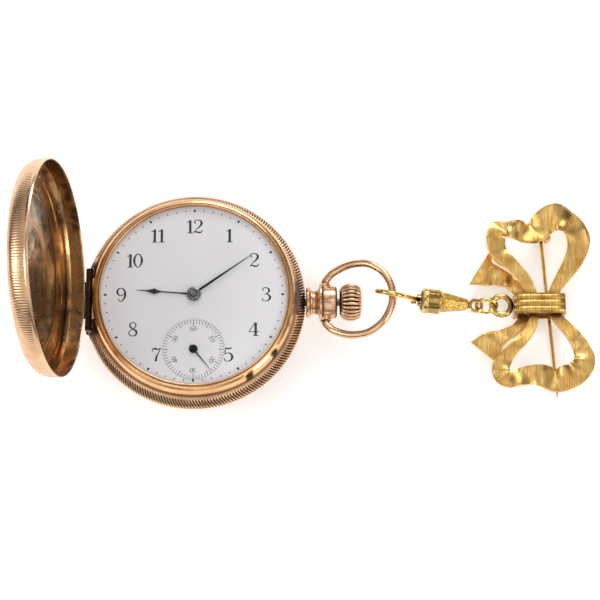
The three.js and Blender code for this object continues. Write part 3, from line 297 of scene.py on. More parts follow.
def add_node(tree, kind, settings=None, inputs=None):
    """Adds a node. An input given as a socket is linked, and any other value is set on it."""
    node = tree.nodes.new(kind)
    for key, value in (settings or {}).items():
        setattr(node, key, value)
    for key, value in (inputs or {}).items():
        if isinstance(value, bpy.types.NodeSocket):
            tree.links.new(value, node.inputs[key])
        else:
            node.inputs[key].default_value = value
    return node


def new_finish(name, metallic=0.0, roughness=0.5, colour="#FFFFFF"):
    """A material and its Principled shader, with the plain values set on the shader."""
    material = bpy.data.materials.new(name)
    material.use_nodes = True
    shader = material.node_tree.nodes["Principled BSDF"]
    shader.inputs["Metallic"].default_value = metallic
    shader.inputs["Roughness"].default_value = roughness
    shader.inputs["Base Color"].default_value = paint(colour)
    return material, shader


# %% [markdown]
# Polished gold that has been carried for a century: bright where hands rub it, browner in between,
# nearly black in the grooves, where grime and painted shade are mixed in. Colour follows a soft noise
# a few millimetres across and the stored grime and painted shade, and hairline scratches are a
# stretched noise finer than they really are long.

# %% Worn gold
def worn_gold(name, bright, brown, grime_and_shade_colour, tarnish=0.5, low_roughness=0.14, high_roughness=0.34, blotch_mm=5.0):
    material, shader = new_finish(name, metallic=1.0)
    tree = material.node_tree
    place = add_node(tree, "ShaderNodeTexCoord").outputs["Object"]
    blotches = add_node(tree, "ShaderNodeTexNoise", inputs={
        "Vector": place, "Scale": 1 / (blotch_mm * MM), "Detail": 6.0, "Roughness": 0.62})
    browning = add_node(tree, "ShaderNodeMapRange", inputs={
        "Value": blotches.outputs["Fac"], "From Min": 0.42, "From Max": 0.72, "To Max": tarnish})
    grime_and_shade = add_node(tree, "ShaderNodeAttribute", {"attribute_name": "grime_and_shade"})
    body = add_node(tree, "ShaderNodeMix", {"data_type": "RGBA"}, {
        0: browning.outputs["Result"], 6: paint(bright), 7: paint(brown)})
    grime_and_shade_amount = add_node(tree, "ShaderNodeMapRange", {"interpolation_type": "SMOOTHSTEP"}, {
        "Value": grime_and_shade.outputs["Fac"], "From Min": 0.15, "From Max": 0.85, "To Max": 0.97})
    # The stored grime and painted shade darken the colour towards its darkest tone.
    colour = add_node(tree, "ShaderNodeMix", {"data_type": "RGBA"}, {
        0: grime_and_shade_amount.outputs["Result"], 6: body.outputs[2], 7: paint(grime_and_shade_colour)})
    scratch_place = add_node(tree, "ShaderNodeMapping", inputs={
        "Vector": place, "Rotation": (0.3, 0.2, 0.6), "Scale": (1.0, 14.0, 4.0)})
    scratches = add_node(tree, "ShaderNodeTexNoise", inputs={
        "Vector": scratch_place.outputs["Vector"], "Scale": 1 / (1.6 * MM), "Detail": 3.0, "Roughness": 0.7})
    polish = add_node(tree, "ShaderNodeMapRange", inputs={
        "Value": scratches.outputs["Fac"], "From Min": 0.3, "From Max": 0.75,
        "To Min": low_roughness, "To Max": high_roughness})
    roughness = add_node(tree, "ShaderNodeMath", {"operation": "MULTIPLY_ADD"}, {
        0: grime_and_shade_amount.outputs["Result"], 1: 0.3, 2: polish.outputs["Result"]})
    bump = add_node(tree, "ShaderNodeBump", inputs={
        "Height": scratches.outputs["Fac"], "Strength": 0.16, "Distance": 0.02 * MM})
    tree.links.new(colour.outputs[2], shader.inputs["Base Color"])
    tree.links.new(roughness.outputs["Value"], shader.inputs["Roughness"])
    tree.links.new(bump.outputs["Normal"], shader.inputs["Normal"])
    return material


rose_gold = worn_gold("polished_rose_gold", "#E8BD96", "#A17A58", "#33200F", tarnish=0.6)
bezel_gold = worn_gold("polished_bezel_gold", "#F3C08C", "#A8734A", "#2A190B", tarnish=0.55, low_roughness=0.1)
dull_gold = worn_gold("oxidised_rose_gold", "#A07A5C", "#5E4430", "#1E140C", tarnish=0.9, low_roughness=0.24,
                      high_roughness=0.5, blotch_mm=2.4)
hinge_gold = worn_gold("grimy_hinge_gold", "#8A6240", "#3A2818", "#120C07", tarnish=0.9, high_roughness=0.55, blotch_mm=1.2)
print("gold finishes:", [m.name for m in (rose_gold, bezel_gold, dull_gold, hinge_gold)])

# %% [markdown]
# Florentine gold is scored with fine hand strokes before polishing, which makes a silky sheen that
# breaks the highlights. The strokes are a noise stretched forty times along one way, drawn about a
# tenth of a millimetre wide, a little coarser than the real ones so that they show.

# %% Florentine yellow gold
def florentine_gold(name, bright, deep, stroke_mm, length_mm, turn, strength=0.5, rough=(0.18, 0.42)):
    material, shader = new_finish(name, metallic=1.0)
    tree = material.node_tree
    place = add_node(tree, "ShaderNodeTexCoord").outputs["Object"]
    brushed = add_node(tree, "ShaderNodeMapping", inputs={
        "Vector": place, "Rotation": (0.0, 0.0, math.radians(turn)),
        "Scale": (1 / (stroke_mm * MM), 1 / (length_mm * MM), 1 / (length_mm * MM))})
    strokes = add_node(tree, "ShaderNodeTexNoise", inputs={
        "Vector": brushed.outputs["Vector"], "Scale": 1.0, "Detail": 4.0, "Roughness": 0.65})
    worn = add_node(tree, "ShaderNodeTexNoise", inputs={
        "Vector": place, "Scale": 1 / (2.2 * MM), "Detail": 4.0, "Roughness": 0.6})
    depth = add_node(tree, "ShaderNodeMath", {"operation": "MULTIPLY_ADD"}, {
        0: worn.outputs["Fac"], 1: 0.6, 2: strokes.outputs["Fac"]})
    tone = add_node(tree, "ShaderNodeMapRange", inputs={
        "Value": depth.outputs["Value"], "From Min": 0.6, "From Max": 1.05})
    grime_and_shade = add_node(tree, "ShaderNodeAttribute", {"attribute_name": "grime_and_shade"})
    gold = add_node(tree, "ShaderNodeMix", {"data_type": "RGBA"}, {
        0: tone.outputs["Result"], 6: paint(deep), 7: paint(bright)})
    # The stored grime and painted shade darken the gold towards a deep brown.
    colour = add_node(tree, "ShaderNodeMix", {"data_type": "RGBA"}, {
        0: grime_and_shade.outputs["Fac"], 6: gold.outputs[2], 7: paint("#4A2E0A")})
    roughness = add_node(tree, "ShaderNodeMapRange", inputs={
        "Value": strokes.outputs["Fac"], "From Min": 0.3, "From Max": 0.7, "To Min": rough[1], "To Max": rough[0]})
    bump = add_node(tree, "ShaderNodeBump", inputs={
        "Height": strokes.outputs["Fac"], "Strength": strength, "Distance": 0.06 * MM})
    tree.links.new(colour.outputs[2], shader.inputs["Base Color"])
    tree.links.new(roughness.outputs["Result"], shader.inputs["Roughness"])
    tree.links.new(bump.outputs["Normal"], shader.inputs["Normal"])
    return material


ribbon_gold = florentine_gold("florentine_yellow_gold", "#FFDB8E", "#C48C3C", 0.11, 2.6, 4)
knot_gold = florentine_gold("florentine_knot_gold", "#F6CC7A", "#A5742E", 0.13, 3.0, 90)
clasp_gold = florentine_gold("polished_clasp_gold", "#F6D88C", "#C79A4A", 0.5, 1.5, 20, strength=0.12, rough=(0.1, 0.24))
cone_gold = florentine_gold("textured_cone_gold", "#F0C86C", "#94682A", 0.22, 0.3, 15, strength=0.9)
print("yellow golds made")

# %% [markdown]
# The rest of the finishes: steel parts, white enamel, black printing, and the glass. The glass lets
# lamps straight through to the dial (a plain refracting crystal would leave it in shadow), which is
# why a see-through shader is mixed in.

# %% Steel, enamel, ink, glass
def brushed_metal(name, colour, dark, rough, scale_mm, stretch=(1.0, 1.0, 1.0), strength=0.15):
    material, shader = new_finish(name, metallic=1.0)
    tree = material.node_tree
    place = add_node(tree, "ShaderNodeTexCoord").outputs["Object"]
    laid = add_node(tree, "ShaderNodeMapping", inputs={"Vector": place, "Scale": stretch})
    grain = add_node(tree, "ShaderNodeTexNoise", inputs={
        "Vector": laid.outputs["Vector"], "Scale": 1 / (scale_mm * MM), "Detail": 4.0, "Roughness": 0.6})
    tone = add_node(tree, "ShaderNodeMapRange", inputs={"Value": grain.outputs["Fac"], "From Min": 0.35, "From Max": 0.7})
    colours = add_node(tree, "ShaderNodeMix", {"data_type": "RGBA"}, {
        0: tone.outputs["Result"], 6: paint(colour), 7: paint(dark)})
    gloss = add_node(tree, "ShaderNodeMapRange", inputs={
        "Value": grain.outputs["Fac"], "From Min": 0.3, "From Max": 0.7, "To Min": rough[0], "To Max": rough[1]})
    bump = add_node(tree, "ShaderNodeBump", inputs={
        "Height": grain.outputs["Fac"], "Strength": strength, "Distance": 0.03 * MM})
    tree.links.new(colours.outputs[2], shader.inputs["Base Color"])
    tree.links.new(gloss.outputs["Result"], shader.inputs["Roughness"])
    tree.links.new(bump.outputs["Normal"], shader.inputs["Normal"])
    return material


# Cut and polished steel: cool grey, its fine grain seen only where a lamp grazes it.
polished_steel = brushed_metal("polished_steel", "#86868A", "#58565A", (0.2, 0.36), 0.5)
# Dull spring steel, browned by old oil.
spring_steel = brushed_metal("browned_spring_steel", "#77716B", "#3F3833", (0.3, 0.5), 0.7)
# Heat-blued hands, so dark that they read as black until a lamp catches them.
blued_steel = brushed_metal("blued_hand_steel", "#262A34", "#15171D", (0.24, 0.34), 0.4, strength=0.05)
# Lacquered wheel brass with its cut grain.
wheel_brass = brushed_metal("lacquered_wheel_brass", "#D9B566", "#A98440", (0.22, 0.38), 0.35, (1.0, 6.0, 1.0))
# Frosted nickel plates: grained in one way, silvery and soft.
nickel_plate = brushed_metal("striped_nickel_plate", "#C9C7C0", "#A19F98", (0.26, 0.4), 1.3, (1.0, 9.0, 1.0), 0.25)

# Fired enamel is glass over white: a bright flat colour with a sharp gloss and the faintest grey mottle.
enamel, enamel_shader = new_finish("white_fired_enamel", roughness=0.12)
enamel_shader.inputs["Coat Weight"].default_value = 0.4
tree = enamel.node_tree
mottle = add_node(tree, "ShaderNodeTexNoise", inputs={
    "Vector": add_node(tree, "ShaderNodeTexCoord").outputs["Object"], "Scale": 1 / (6 * MM), "Detail": 5.0})
whites = add_node(tree, "ShaderNodeMix", {"data_type": "RGBA"}, {
    0: mottle.outputs["Fac"], 6: paint("#F1F0F2"), 7: paint("#E6E4E8")})
tree.links.new(whites.outputs[2], enamel_shader.inputs["Base Color"])

# Printing ink baked on the enamel: soft black, a little glossy. The seconds circle is a thinner brown.
ink = new_finish("baked_black_ink", roughness=0.35, colour="#0C0C0F")[0]
brown_ink = new_finish("thin_brown_ink", roughness=0.4, colour="#8C7A66")[0]
# The line round the foot of the bezel is shadow and old polish rather than printing.
shadow_and_polish_line = new_finish("painted_shadow_and_old_polish", roughness=0.8, colour="#3A2B1E")[0]

# Watch glass: clear, thin and highly polished, so nearly all one sees is the gloss at its rim.
watch_glass, glass_shader = new_finish("domed_watch_glass", roughness=0.02)
tree = watch_glass.node_tree
clear = add_node(tree, "ShaderNodeBsdfTransparent")
edge_on = add_node(tree, "ShaderNodeLayerWeight", inputs={"Blend": 0.12})
gloss = add_node(tree, "ShaderNodeBsdfGlossy", inputs={"Roughness": 0.02})
amount = add_node(tree, "ShaderNodeMapRange", inputs={
    "Value": edge_on.outputs["Fresnel"], "From Max": 1.0, "To Min": 0.01, "To Max": 0.6})
mixed = add_node(tree, "ShaderNodeMixShader", inputs={0: amount.outputs["Result"], 1: clear.outputs[0], 2: gloss.outputs[0]})
tree.links.new(mixed.outputs[0], tree.nodes["Material Output"].inputs["Surface"])
tree.nodes.remove(glass_shader.id_data.nodes["Principled BSDF"])
print("finishes:", len(bpy.data.materials))

# %% [markdown]
# ## Studio
# A catalogue picture: nearly white paper, big soft lamps overhead and to the sides. Polished gold
# shows what surrounds it, so the room grows darker towards the horizon and has
# broad pale and dark panels, made from one large noise, to give it brown lines.

# %% Floor and lamps
floor_mesh = bpy.data.meshes.new("floor")
floor_bm = bmesh.new()
bmesh.ops.create_grid(floor_bm, x_segments=1, y_segments=1, size=3.0)
bmesh.ops.translate(floor_bm, vec=(0, 0, cad_low.z - 0.05 * MM), verts=floor_bm.verts[:])
floor_bm.to_mesh(floor_mesh)
floor_bm.free()
floor = bpy.data.objects.new("floor", floor_mesh)
scene.collection.objects.link(floor)
# Seamless white card: matt, and lit a little from behind so that the shade on it stays faint.
white_card, card_shader = new_finish("white_card", roughness=0.95, colour="#FDFDFD")
card_shader.inputs["Emission Color"].default_value = paint("#FFFFFF")
card_shader.inputs["Emission Strength"].default_value = 0.3
floor_mesh.materials.append(white_card)

world = bpy.data.worlds.new("studio")
world.use_nodes = True
scene.world = world
sky = world.node_tree.nodes["Background"]
sky.inputs["Color"].default_value = paint("#FBFAF9")
direction = add_node(world.node_tree, "ShaderNodeTexCoord").outputs["Generated"]
upward = add_node(world.node_tree, "ShaderNodeSeparateXYZ", inputs={"Vector": direction})
height = add_node(world.node_tree, "ShaderNodeMapRange", {"interpolation_type": "SMOOTHSTEP"}, {
    "Value": upward.outputs["Z"], "From Min": 0.1, "From Max": 0.8, "To Min": 0.14, "To Max": 1.0})
panels = add_node(world.node_tree, "ShaderNodeTexNoise", inputs={"Vector": direction, "Scale": 2.6, "Detail": 0.0})
light_and_flags = add_node(world.node_tree, "ShaderNodeMapRange", {"interpolation_type": "SMOOTHSTEP"}, {
    "Value": panels.outputs["Fac"], "From Min": 0.38, "From Max": 0.6, "To Min": 0.4, "To Max": 1.5})
brightness = add_node(world.node_tree, "ShaderNodeMath", {"operation": "MULTIPLY"}, {
    0: height.outputs["Result"], 1: light_and_flags.outputs["Result"]})
world.node_tree.links.new(brightness.outputs["Value"], sky.inputs["Strength"])


def lamp(name, place, aim, size, power, colour="#FFFFFF"):
    """A square soft lamp at a place in metres, turned to face another."""
    light = bpy.data.lights.new(name, "AREA")
    light.size = size
    light.energy = power
    light.color = paint(colour)[:3]
    holder = bpy.data.objects.new(name, light)
    holder.location = place
    holder.rotation_euler = (Vector(aim) - Vector(place)).to_track_quat("-Z", "Y").to_euler()
    scene.collection.objects.link(holder)
    return holder


middle = (0.02, 0.0, 0.0)
lamp("far_softbox", (0.1, 0.5, 0.3), middle, 0.26, 1.2)
lamp("left_softbox", (-0.42, -0.1, 0.3), middle, 0.2, 0.6)
lamp("right_softbox", (0.45, -0.3, 0.3), middle, 0.2, 0.6)

# %% [markdown]
# ## Case middle
# The gold band round a watch is turned, then reeded with a knurling wheel: some 230 fine leaning
# grooves that give a grip and catch the light like a rope. Cutting grooves one by one would be slow
# and heavy, so a plain spun band has its own points pressed in by a cosine of the angle. The cover
# hinges need a flat-sided recess, which a boolean cuts best.

# %% Reeded band
GROOVES = 230
GROOVE_DEPTH = 0.24
LEAN = -1.9  # degrees of twist per millimetre of height
shoulder = 16.2
waist = (ring_low + ring_top) / 2
half_height = (ring_top - ring_low) / 2


def band_share(radius, height, around):
    """Full groove depth over the two slopes, fading at the shoulders and beside the hinge."""
    if radius < shoulder - 0.02:
        return 0.0
    beside_hinge = (math.pi - abs(around)) / math.radians(1.5) - 14
    return max(0.0, min(1.0, (half_height - abs(height - waist)) / 0.14, beside_hinge))


slope = []
for i in range(13):
    h = ring_low + (ring_top - ring_low) * i / 12
    bulge = 1 - abs(h - waist) / half_height
    slope.append([shoulder + (band_radius - shoulder) * math.sin(bulge * math.pi / 2) ** 0.9, h])
band_outline = [[15.22, ring_top - 0.6], [15.22, 6.95], [15.97, 6.95], [15.97, ring_low], *slope, [15.22, ring_top]]
band = turned(band_outline, steps=GROOVES * 6)
reeded(band, GROOVES, GROOVE_DEPTH, LEAN, band_share, waist)


def band_grime(p):
    """Painted shade on the ledge under the bezel, and dark all round the hinge."""
    radius = math.hypot(p.x, p.y)
    # The ledge is painted shade, deepest in the gap just under the bezel.
    ledge = (0.85 if radius < 16.0 else 0.3) if radius < 16.25 and p.z > 6.0 else 0.0
    hinge = 3.2 - (math.pi - abs(math.atan2(p.y, p.x))) / math.radians(8)
    return max(ledge, hinge)


soil(band, band_grime)
case_band = finished("reeded_case_band", band, "case", rose_gold, sharp=60)


def cut_away(piece, *blocks):
    """Takes rounded blocks out of a finished piece with a boolean, then makes the result plain mesh."""
    for low, high in blocks:
        shape = block(low, high, rounding=0.05, segments=1)
        bmesh.ops.scale(shape, vec=(MM, MM, MM), verts=shape.verts[:])
        mesh = bpy.data.meshes.new("cutter")
        shape.to_mesh(mesh)
        shape.free()
        mesh.materials.append(hinge_gold)
        cutter = bpy.data.objects.new("cutter", mesh)
        scene.collection.objects.link(cutter)
        modifier = piece.modifiers.new("cut", "BOOLEAN")
        modifier.object = cutter
        modifier.solver = "EXACT"
        bpy.context.view_layer.update()
        result = bpy.data.meshes.new_from_object(piece.evaluated_get(bpy.context.evaluated_depsgraph_get()))
        piece.modifiers.clear()
        old = piece.data
        result.name = old.name
        piece.data = result
        bpy.data.meshes.remove(old)
        bpy.data.objects.remove(cutter)
        bpy.data.meshes.remove(mesh)
    print(f"{piece.name}: {len(piece.data.polygons)} faces after cutting")


hinge_side = -15.85
cut_away(case_band, ((-19, -5.05, 6.2), (hinge_side, 5.05, 9)), ((-19, -5.05, 3), (hinge_side, 5.05, 5.4)))

# %% [markdown]
# Inside the band stand two thin walls: the seat that the movement drops into and the upright collar
# that the bezel snaps over. On the watch they are one casting, and one spun outline makes them both.

# %% Seat and collar
seat_outline = [[13.9, 6.1], [15.22, 6.1], [15.22, 6.95], [15.22, 7.55], [15.17, 7.6], [15.17, 9.45], [14.72, 9.45],
                [14.72, 6.65], [13.9, 6.65]]
seat = turned(seat_outline, steps=128, rounding=0.04)
finished("movement_seat", seat, "case", dull_gold, ["case_middle"])

# %% [markdown]
# ## Bezel and glass
# The bezel is a springy polished ring: a broad sloping face with a fine step where it meets the
# dial. The little dark nicks at its lower right are where a thumbnail or knife has prised it open.
# Spinning one cross-section gives the whole ring, and rounding the corners of the section first
# gives each edge the soft line that polishing leaves.

# %% Bezel
bezel_outline = [[15.22, 7.6], [15.75, 7.6], [15.75, 8.8], [15.66, 9.35], [15.42, 9.78], [15.1, 10.02], [14.86, 10.12],
                 [14.8, 10.05], [14.66, 10.08], [14.56, 10.25], [14.44, 10.22], [14.4, 9.98], [14.75, 9.98],
                 [14.75, 9.63], [14.4, 9.63], [14.4, 9.55], [15.22, 9.55]]
bezel = turned(bezel_outline, steps=192, rounding=0.03)
NICKS = [math.radians(-37), math.radians(-56.4)]


def bezel_grime(p):
    """Painted shadow and old polish at the foot of the ring, painted shade in the fine step, and dark in the prised
    nicks.
    """
    radius, angle = math.hypot(p.x, p.y), math.atan2(p.y, p.x)
    # The foot is painted shadow and old polish, and the step is painted shade.
    foot = 0.8 if p.z < 8.3 else 0.0
    step = 0.6 if 14.6 < radius < 14.84 and p.z > 9.9 else 0.0
    hinge = 2.6 - (math.pi - abs(angle)) / math.radians(8) if radius > 15.5 else 0.0
    nick = max(1.5 - abs(angle - n) * 24 for n in NICKS) if radius > 15.2 else 0.0
    return max(foot, step, nick, hinge)


soil(bezel, bezel_grime)
for vert in bezel.verts:
    near = min(abs(math.atan2(vert.co.y, vert.co.x) - n) for n in NICKS)
    if math.hypot(vert.co.x, vert.co.y) > 15.3 and near < 0.03:
        vert.co.z -= 0.3 * (1 - near / 0.03)
finished("polished_bezel", bezel, "bezel", bezel_gold, ["bezel"], sharp=28)

# %% Domed glass
glass_low_rim = glass_low.z
across = [14.3 * math.sin(math.pi / 2 * i / 14) for i in range(15)]
under = [[r, 10.75 - 1.05 * (r / 14.3) ** 2.4] for r in across]
over = [[r, glass_high.z - 1.24 * (r / 14.3) ** 2.4] for r in reversed(across)]
glass_outline = [*under, [14.35, glass_low_rim], [14.7, glass_low_rim], [14.7, glass_low_rim + 0.27], *over]
glass = turned(glass_outline, steps=160)
finished("domed_glass", glass, "bezel", watch_glass, ["glass"], sharp=30)


# %% [markdown]
# ## Dial
# The dial keeps its CAD disc, which already has the sunk seconds circle, and wears the enamel. The
# printing on it is ink in a thin raised film. Numerals from a font would be quick, but watch
# numerals are drawn with a broad nib: heavy on the uprights, hairline on the turns. So each is a
# few curves whose width changes along them, pressed nearly flat.

# %% Printing helpers
def printed(shapes, name, finish, height):
    """Presses shapes flat on the dial at a height and finishes them as ink."""
    film = welded(*shapes)
    bmesh.ops.scale(film, vec=(1, 1, 0.06), verts=film.verts[:])
    bmesh.ops.translate(film, vec=(0, 0, height), verts=film.verts[:])
    return finished(name, film, "case", finish)


def tick(radius, angle, length, width, x=0.0, y=0.0):
    """A small dash pointing to the middle of a circle."""
    bm = bmesh.new()
    bmesh.ops.create_cube(bm, size=1)
    bmesh.ops.scale(bm, vec=(length, width, 0.3), verts=bm.verts[:])
    bmesh.ops.translate(bm, vec=(radius, 0, 0), verts=bm.verts[:])
    bmesh.ops.rotate(bm, cent=(0, 0, 0), matrix=Matrix.Rotation(angle, 3, "Z"), verts=bm.verts[:])
    bmesh.ops.translate(bm, vec=(x, y, 0), verts=bm.verts[:])
    bm.verts.layers.float.new("grime_and_shade")
    return bm


THICK, THIN = 0.088, 0.03
# Each stroke is [x, y, half width] points in a box one high; "line" keeps it straight, "ring" closes it.
NUMERALS = {
    "0": [("ring", [(0.3, 0.985, THIN), (0.12, 0.76, 0.062), (0.08, 0.5, THICK), (0.12, 0.24, 0.062), (0.3, 0.015, THIN),
                    (0.48, 0.24, 0.062), (0.52, 0.5, THICK), (0.48, 0.76, 0.062)])],
    "1": [("line", [(0.27, 0.02, THICK), (0.27, 0.97, THICK)]), ("line", [(0.1, 0.015, THIN), (0.44, 0.015, THIN)]),
          ("curve", [(0.27, 0.93, 0.05), (0.18, 0.84, 0.035), (0.06, 0.82, THIN)])],
    "2": [("curve", [(0.13, 0.74, 0.07), (0.14, 0.77, 0.06), (0.1, 0.84, 0.03), (0.18, 0.96, THIN), (0.32, 0.985, 0.03),
                     (0.48, 0.9, 0.06), (0.52, 0.74, THICK), (0.42, 0.52, 0.055), (0.2, 0.27, 0.028), (0.06, 0.04, THIN)]),
          ("curve", [(0.06, 0.04, THIN), (0.16, 0.11, 0.04), (0.34, 0.06, 0.066), (0.49, 0.07, 0.045), (0.56, 0.24, THIN)])],
    "3": [("curve", [(0.13, 0.78, 0.066), (0.13, 0.81, 0.055), (0.11, 0.88, 0.028), (0.2, 0.975, THIN), (0.31, 0.985, 0.03),
                     (0.46, 0.9, 0.06), (0.48, 0.75, 0.07), (0.4, 0.58, 0.04), (0.24, 0.52, THIN)]),
          ("curve", [(0.24, 0.52, THIN), (0.42, 0.48, 0.04), (0.54, 0.28, THICK), (0.47, 0.09, 0.055), (0.3, 0.015, 0.025),
                     (0.13, 0.06, THIN), (0.09, 0.15, 0.03), (0.13, 0.2, 0.062)])],
    "4": [("line", [(0.4, 0.97, THIN), (0.03, 0.3, THIN)]), ("line", [(0.03, 0.29, THIN), (0.62, 0.29, THIN)]),
          ("line", [(0.42, 0.02, THICK), (0.42, 0.96, THICK)]), ("line", [(0.26, 0.015, THIN), (0.58, 0.015, THIN)])],
    "5": [("curve", [(0.13, 0.97, THIN), (0.26, 0.93, 0.05), (0.42, 0.94, 0.045), (0.5, 1.0, THIN)]),
          ("line", [(0.14, 0.96, THIN), (0.11, 0.52, THIN)]),
          ("curve", [(0.11, 0.52, THIN), (0.26, 0.61, 0.026), (0.42, 0.56, 0.052), (0.53, 0.34, THICK), (0.46, 0.11, 0.058),
                     (0.29, 0.015, 0.025), (0.13, 0.06, THIN), (0.08, 0.14, 0.03), (0.12, 0.2, 0.062)])],
    "6": [("curve", [(0.45, 0.8, 0.055), (0.46, 0.87, 0.035), (0.34, 0.985, THIN), (0.16, 0.82, 0.055), (0.08, 0.46, THICK),
                     (0.16, 0.12, 0.055), (0.31, 0.015, THIN), (0.49, 0.13, 0.055), (0.53, 0.32, 0.07), (0.44, 0.51, 0.045),
                     (0.3, 0.57, THIN), (0.17, 0.46, THIN)])],
    "7": [("curve", [(0.07, 0.72, THIN), (0.09, 0.9, 0.03), (0.22, 0.94, 0.068), (0.38, 0.88, 0.045), (0.55, 0.98, THIN)]),
          ("curve", [(0.55, 0.98, THIN), (0.44, 0.68, 0.03), (0.32, 0.36, 0.06), (0.27, 0.03, 0.085)])],
    "8": [("ring", [(0.3, 0.985, THIN), (0.14, 0.88, 0.05), (0.15, 0.68, 0.055), (0.32, 0.52, 0.05), (0.5, 0.33, 0.074),
                    (0.48, 0.11, 0.055), (0.3, 0.015, THIN), (0.1, 0.12, 0.04), (0.09, 0.31, 0.035), (0.26, 0.49, THIN),
                    (0.44, 0.66, 0.035), (0.46, 0.87, 0.04)])],
}
NUMERALS["9"] = [(kind, [(0.6 - x, 1 - y, w) for x, y, w in points]) for kind, points in NUMERALS["6"]]


WIDEN = 1.2  # digits are drawn a little wider than their box


def numeral(text, x, y, height, turn=0.0, advance=0.74):
    """Draws digits with their middle at x, y, a given height, turned about that middle."""
    shapes = []
    start = -advance * len(text) / 2
    for i, digit in enumerate(text):
        for kind, points in NUMERALS[digit]:
            stroke = wire([(WIDEN * px + start + advance * i, py - 0.5, 0, w) for px, py, w in points],
                          closed=kind == "ring", sides=1, steps=6, straight=kind == "line")
            shapes.append(stroke)
    whole = welded(*shapes)
    bmesh.ops.scale(whole, vec=(height, height, height), verts=whole.verts[:])
    bmesh.ops.rotate(whole, cent=(0, 0, 0), matrix=Matrix.Rotation(math.radians(turn), 3, "Z"), verts=whole.verts[:])
    bmesh.ops.translate(whole, vec=(x, y, 0), verts=whole.verts[:])
    return whole


# %% Hours and minute track
INK_HEIGHT = dial_top + 0.004
HOUR_RADIUS = 11.1
hours = []
NUDGED = {1: 0.0, 2: -0.35, 3: 0.0, 4: -0.4, 5: -0.2, 7: -0.1, 8: 0.3, 9: -0.1, 10: 0.1, 11: -0.25, 12: -0.3}
for hour, nudge in NUDGED.items():
    around = math.radians(90 - 30 * hour)
    hours.append(numeral(str(hour), HOUR_RADIUS * math.cos(around) + nudge, HOUR_RADIUS * math.sin(around), 2.2,
                         advance=0.5 if hour > 9 else 0.72))
printed(hours, "hour_numerals", ink, INK_HEIGHT)

track = []
for minute in range(60):
    bold = minute % 5 == 0
    track.append(tick(13.68, math.radians(6 * minute), 0.42 if bold else 0.3, 0.3 if bold else 0.12))
printed(track, "minute_track", ink, INK_HEIGHT)

# %% Seconds dial
sunk = INK_HEIGHT - 0.12
rings = [turned([[4.66, -0.1], [4.66, 0.1], [4.72, 0.1], [4.72, -0.1]], steps=96)]
bmesh.ops.translate(rings[0], vec=(0, -8.75, 0), verts=rings[0].verts[:])
printed(rings, "seconds_circle", brown_ink, sunk)
seconds = []
for second in range(60):
    long_one = second % 5 == 0
    length = 0.85 if second % 10 == 5 else 0.7 if long_one else 0.5
    seconds.append(tick(4.6 - length / 2, math.radians(6 * second), length, 0.1 if long_one else 0.07, y=-8.75))
for ten in range(6):
    turn = -60 * ten
    upright = turn if abs(turn) <= 90 or turn == -300 else turn
    around = math.radians(90 + turn)
    seconds.append(numeral("60" if ten == 0 else str(10 * ten), 3.3 * math.cos(around), -8.75 + 3.3 * math.sin(around), 0.72,
                           turn=upright))
printed(seconds, "seconds_track", ink, sunk)

# %% [markdown]
# ## Hands
# Stamped from thin steel, domed on top and heat-blued until nearly black. A wire whose radius
# changes along it, pressed flat, has both the outline and the soft domed top; the pear on the
# hour hand is just a fatter point in it.

# %% Hands
def hand(points, degrees, height, thickness, at=(0.0, 0.0)):
    """A flattened wire along X turned to an angle, with its under side at a height."""
    bm = wire([(x, 0, 0, r) for x, r in points], sides=3, steps=10)
    top = max(v.co.z for v in bm.verts)
    bmesh.ops.scale(bm, vec=(1, 1, thickness / 2 / top), verts=bm.verts[:])
    bmesh.ops.rotate(bm, cent=(0, 0, 0), matrix=Matrix.Rotation(math.radians(degrees), 3, "Z"), verts=bm.verts[:])
    bmesh.ops.translate(bm, vec=(*at, height + thickness / 2), verts=bm.verts[:])
    return bm


def hub(radius, low, high, at=(0.0, 0.0), hole=0.0):
    """A small turned collar with a soft edge."""
    bm = turned([[hole, low], [radius, low], [radius, high], [hole, high]] if hole else
                [[0, low], [radius, low], [radius, high], [0, high]], steps=40, rounding=0.05)
    bmesh.ops.translate(bm, vec=(*at, 0), verts=bm.verts[:])
    return bm


def clock_angle(node):
    """The way a hand points, from the far corner of its CAD box."""
    mesh = frame["nodes"][node].data
    centre = Vector((0, -8.75 if node == "seconds_hand" else 0, 0)) * MM
    tip = max((v.co for v in mesh.vertices), key=lambda c: (c.xy - centre.xy).length)
    return math.degrees(math.atan2(tip.y - centre.y, tip.x - centre.x)), (tip.xy - centre.xy).length / MM


hour_turn, hour_length = clock_angle("hour_hand")
minute_turn, minute_length = clock_angle("minute_hand")
seconds_turn, seconds_length = clock_angle("seconds_hand")
hour_z = corners("hour_hand")[0].z
minute_low, minute_high = corners("minute_hand")
seconds_low, seconds_high = corners("seconds_hand")
hour_shape = hand([(0.7, 0.16), (3.2, 0.1), (5.0, 0.1), (5.55, 0.22), (6.1, 0.47), (6.7, 0.26), (7.4, 0.1), (8.2, 0.07), (hour_length, 0.04)],
                  hour_turn, hour_z, 0.12)
finished("pear_hour_hand", welded(hour_shape, hub(1.05, hour_z, hour_z + 0.14, hole=0.5)), "hour", blued_steel, ["hour_hand"])
minute_shape = hand([(0.7, 0.2), (2.5, 0.2), (6.0, 0.14), (9.0, 0.08), (minute_length, 0.035)], minute_turn, minute_low.z, 0.12)
finished("minute_hand_blade", minute_shape, "centre", blued_steel, ["minute_hand"])
hub_shape = turned([[0, minute_low.z], [1.02, minute_low.z], [1.05, minute_low.z + 0.16], [0.92, minute_low.z + 0.24], [0.62, minute_low.z + 0.26],
                    [0.56, minute_low.z + 0.2], [0.5, minute_low.z + 0.32], [0.3, minute_high.z - 0.02], [0, minute_high.z]], steps=48)
finished("minute_hub", hub_shape, "centre", polished_steel)
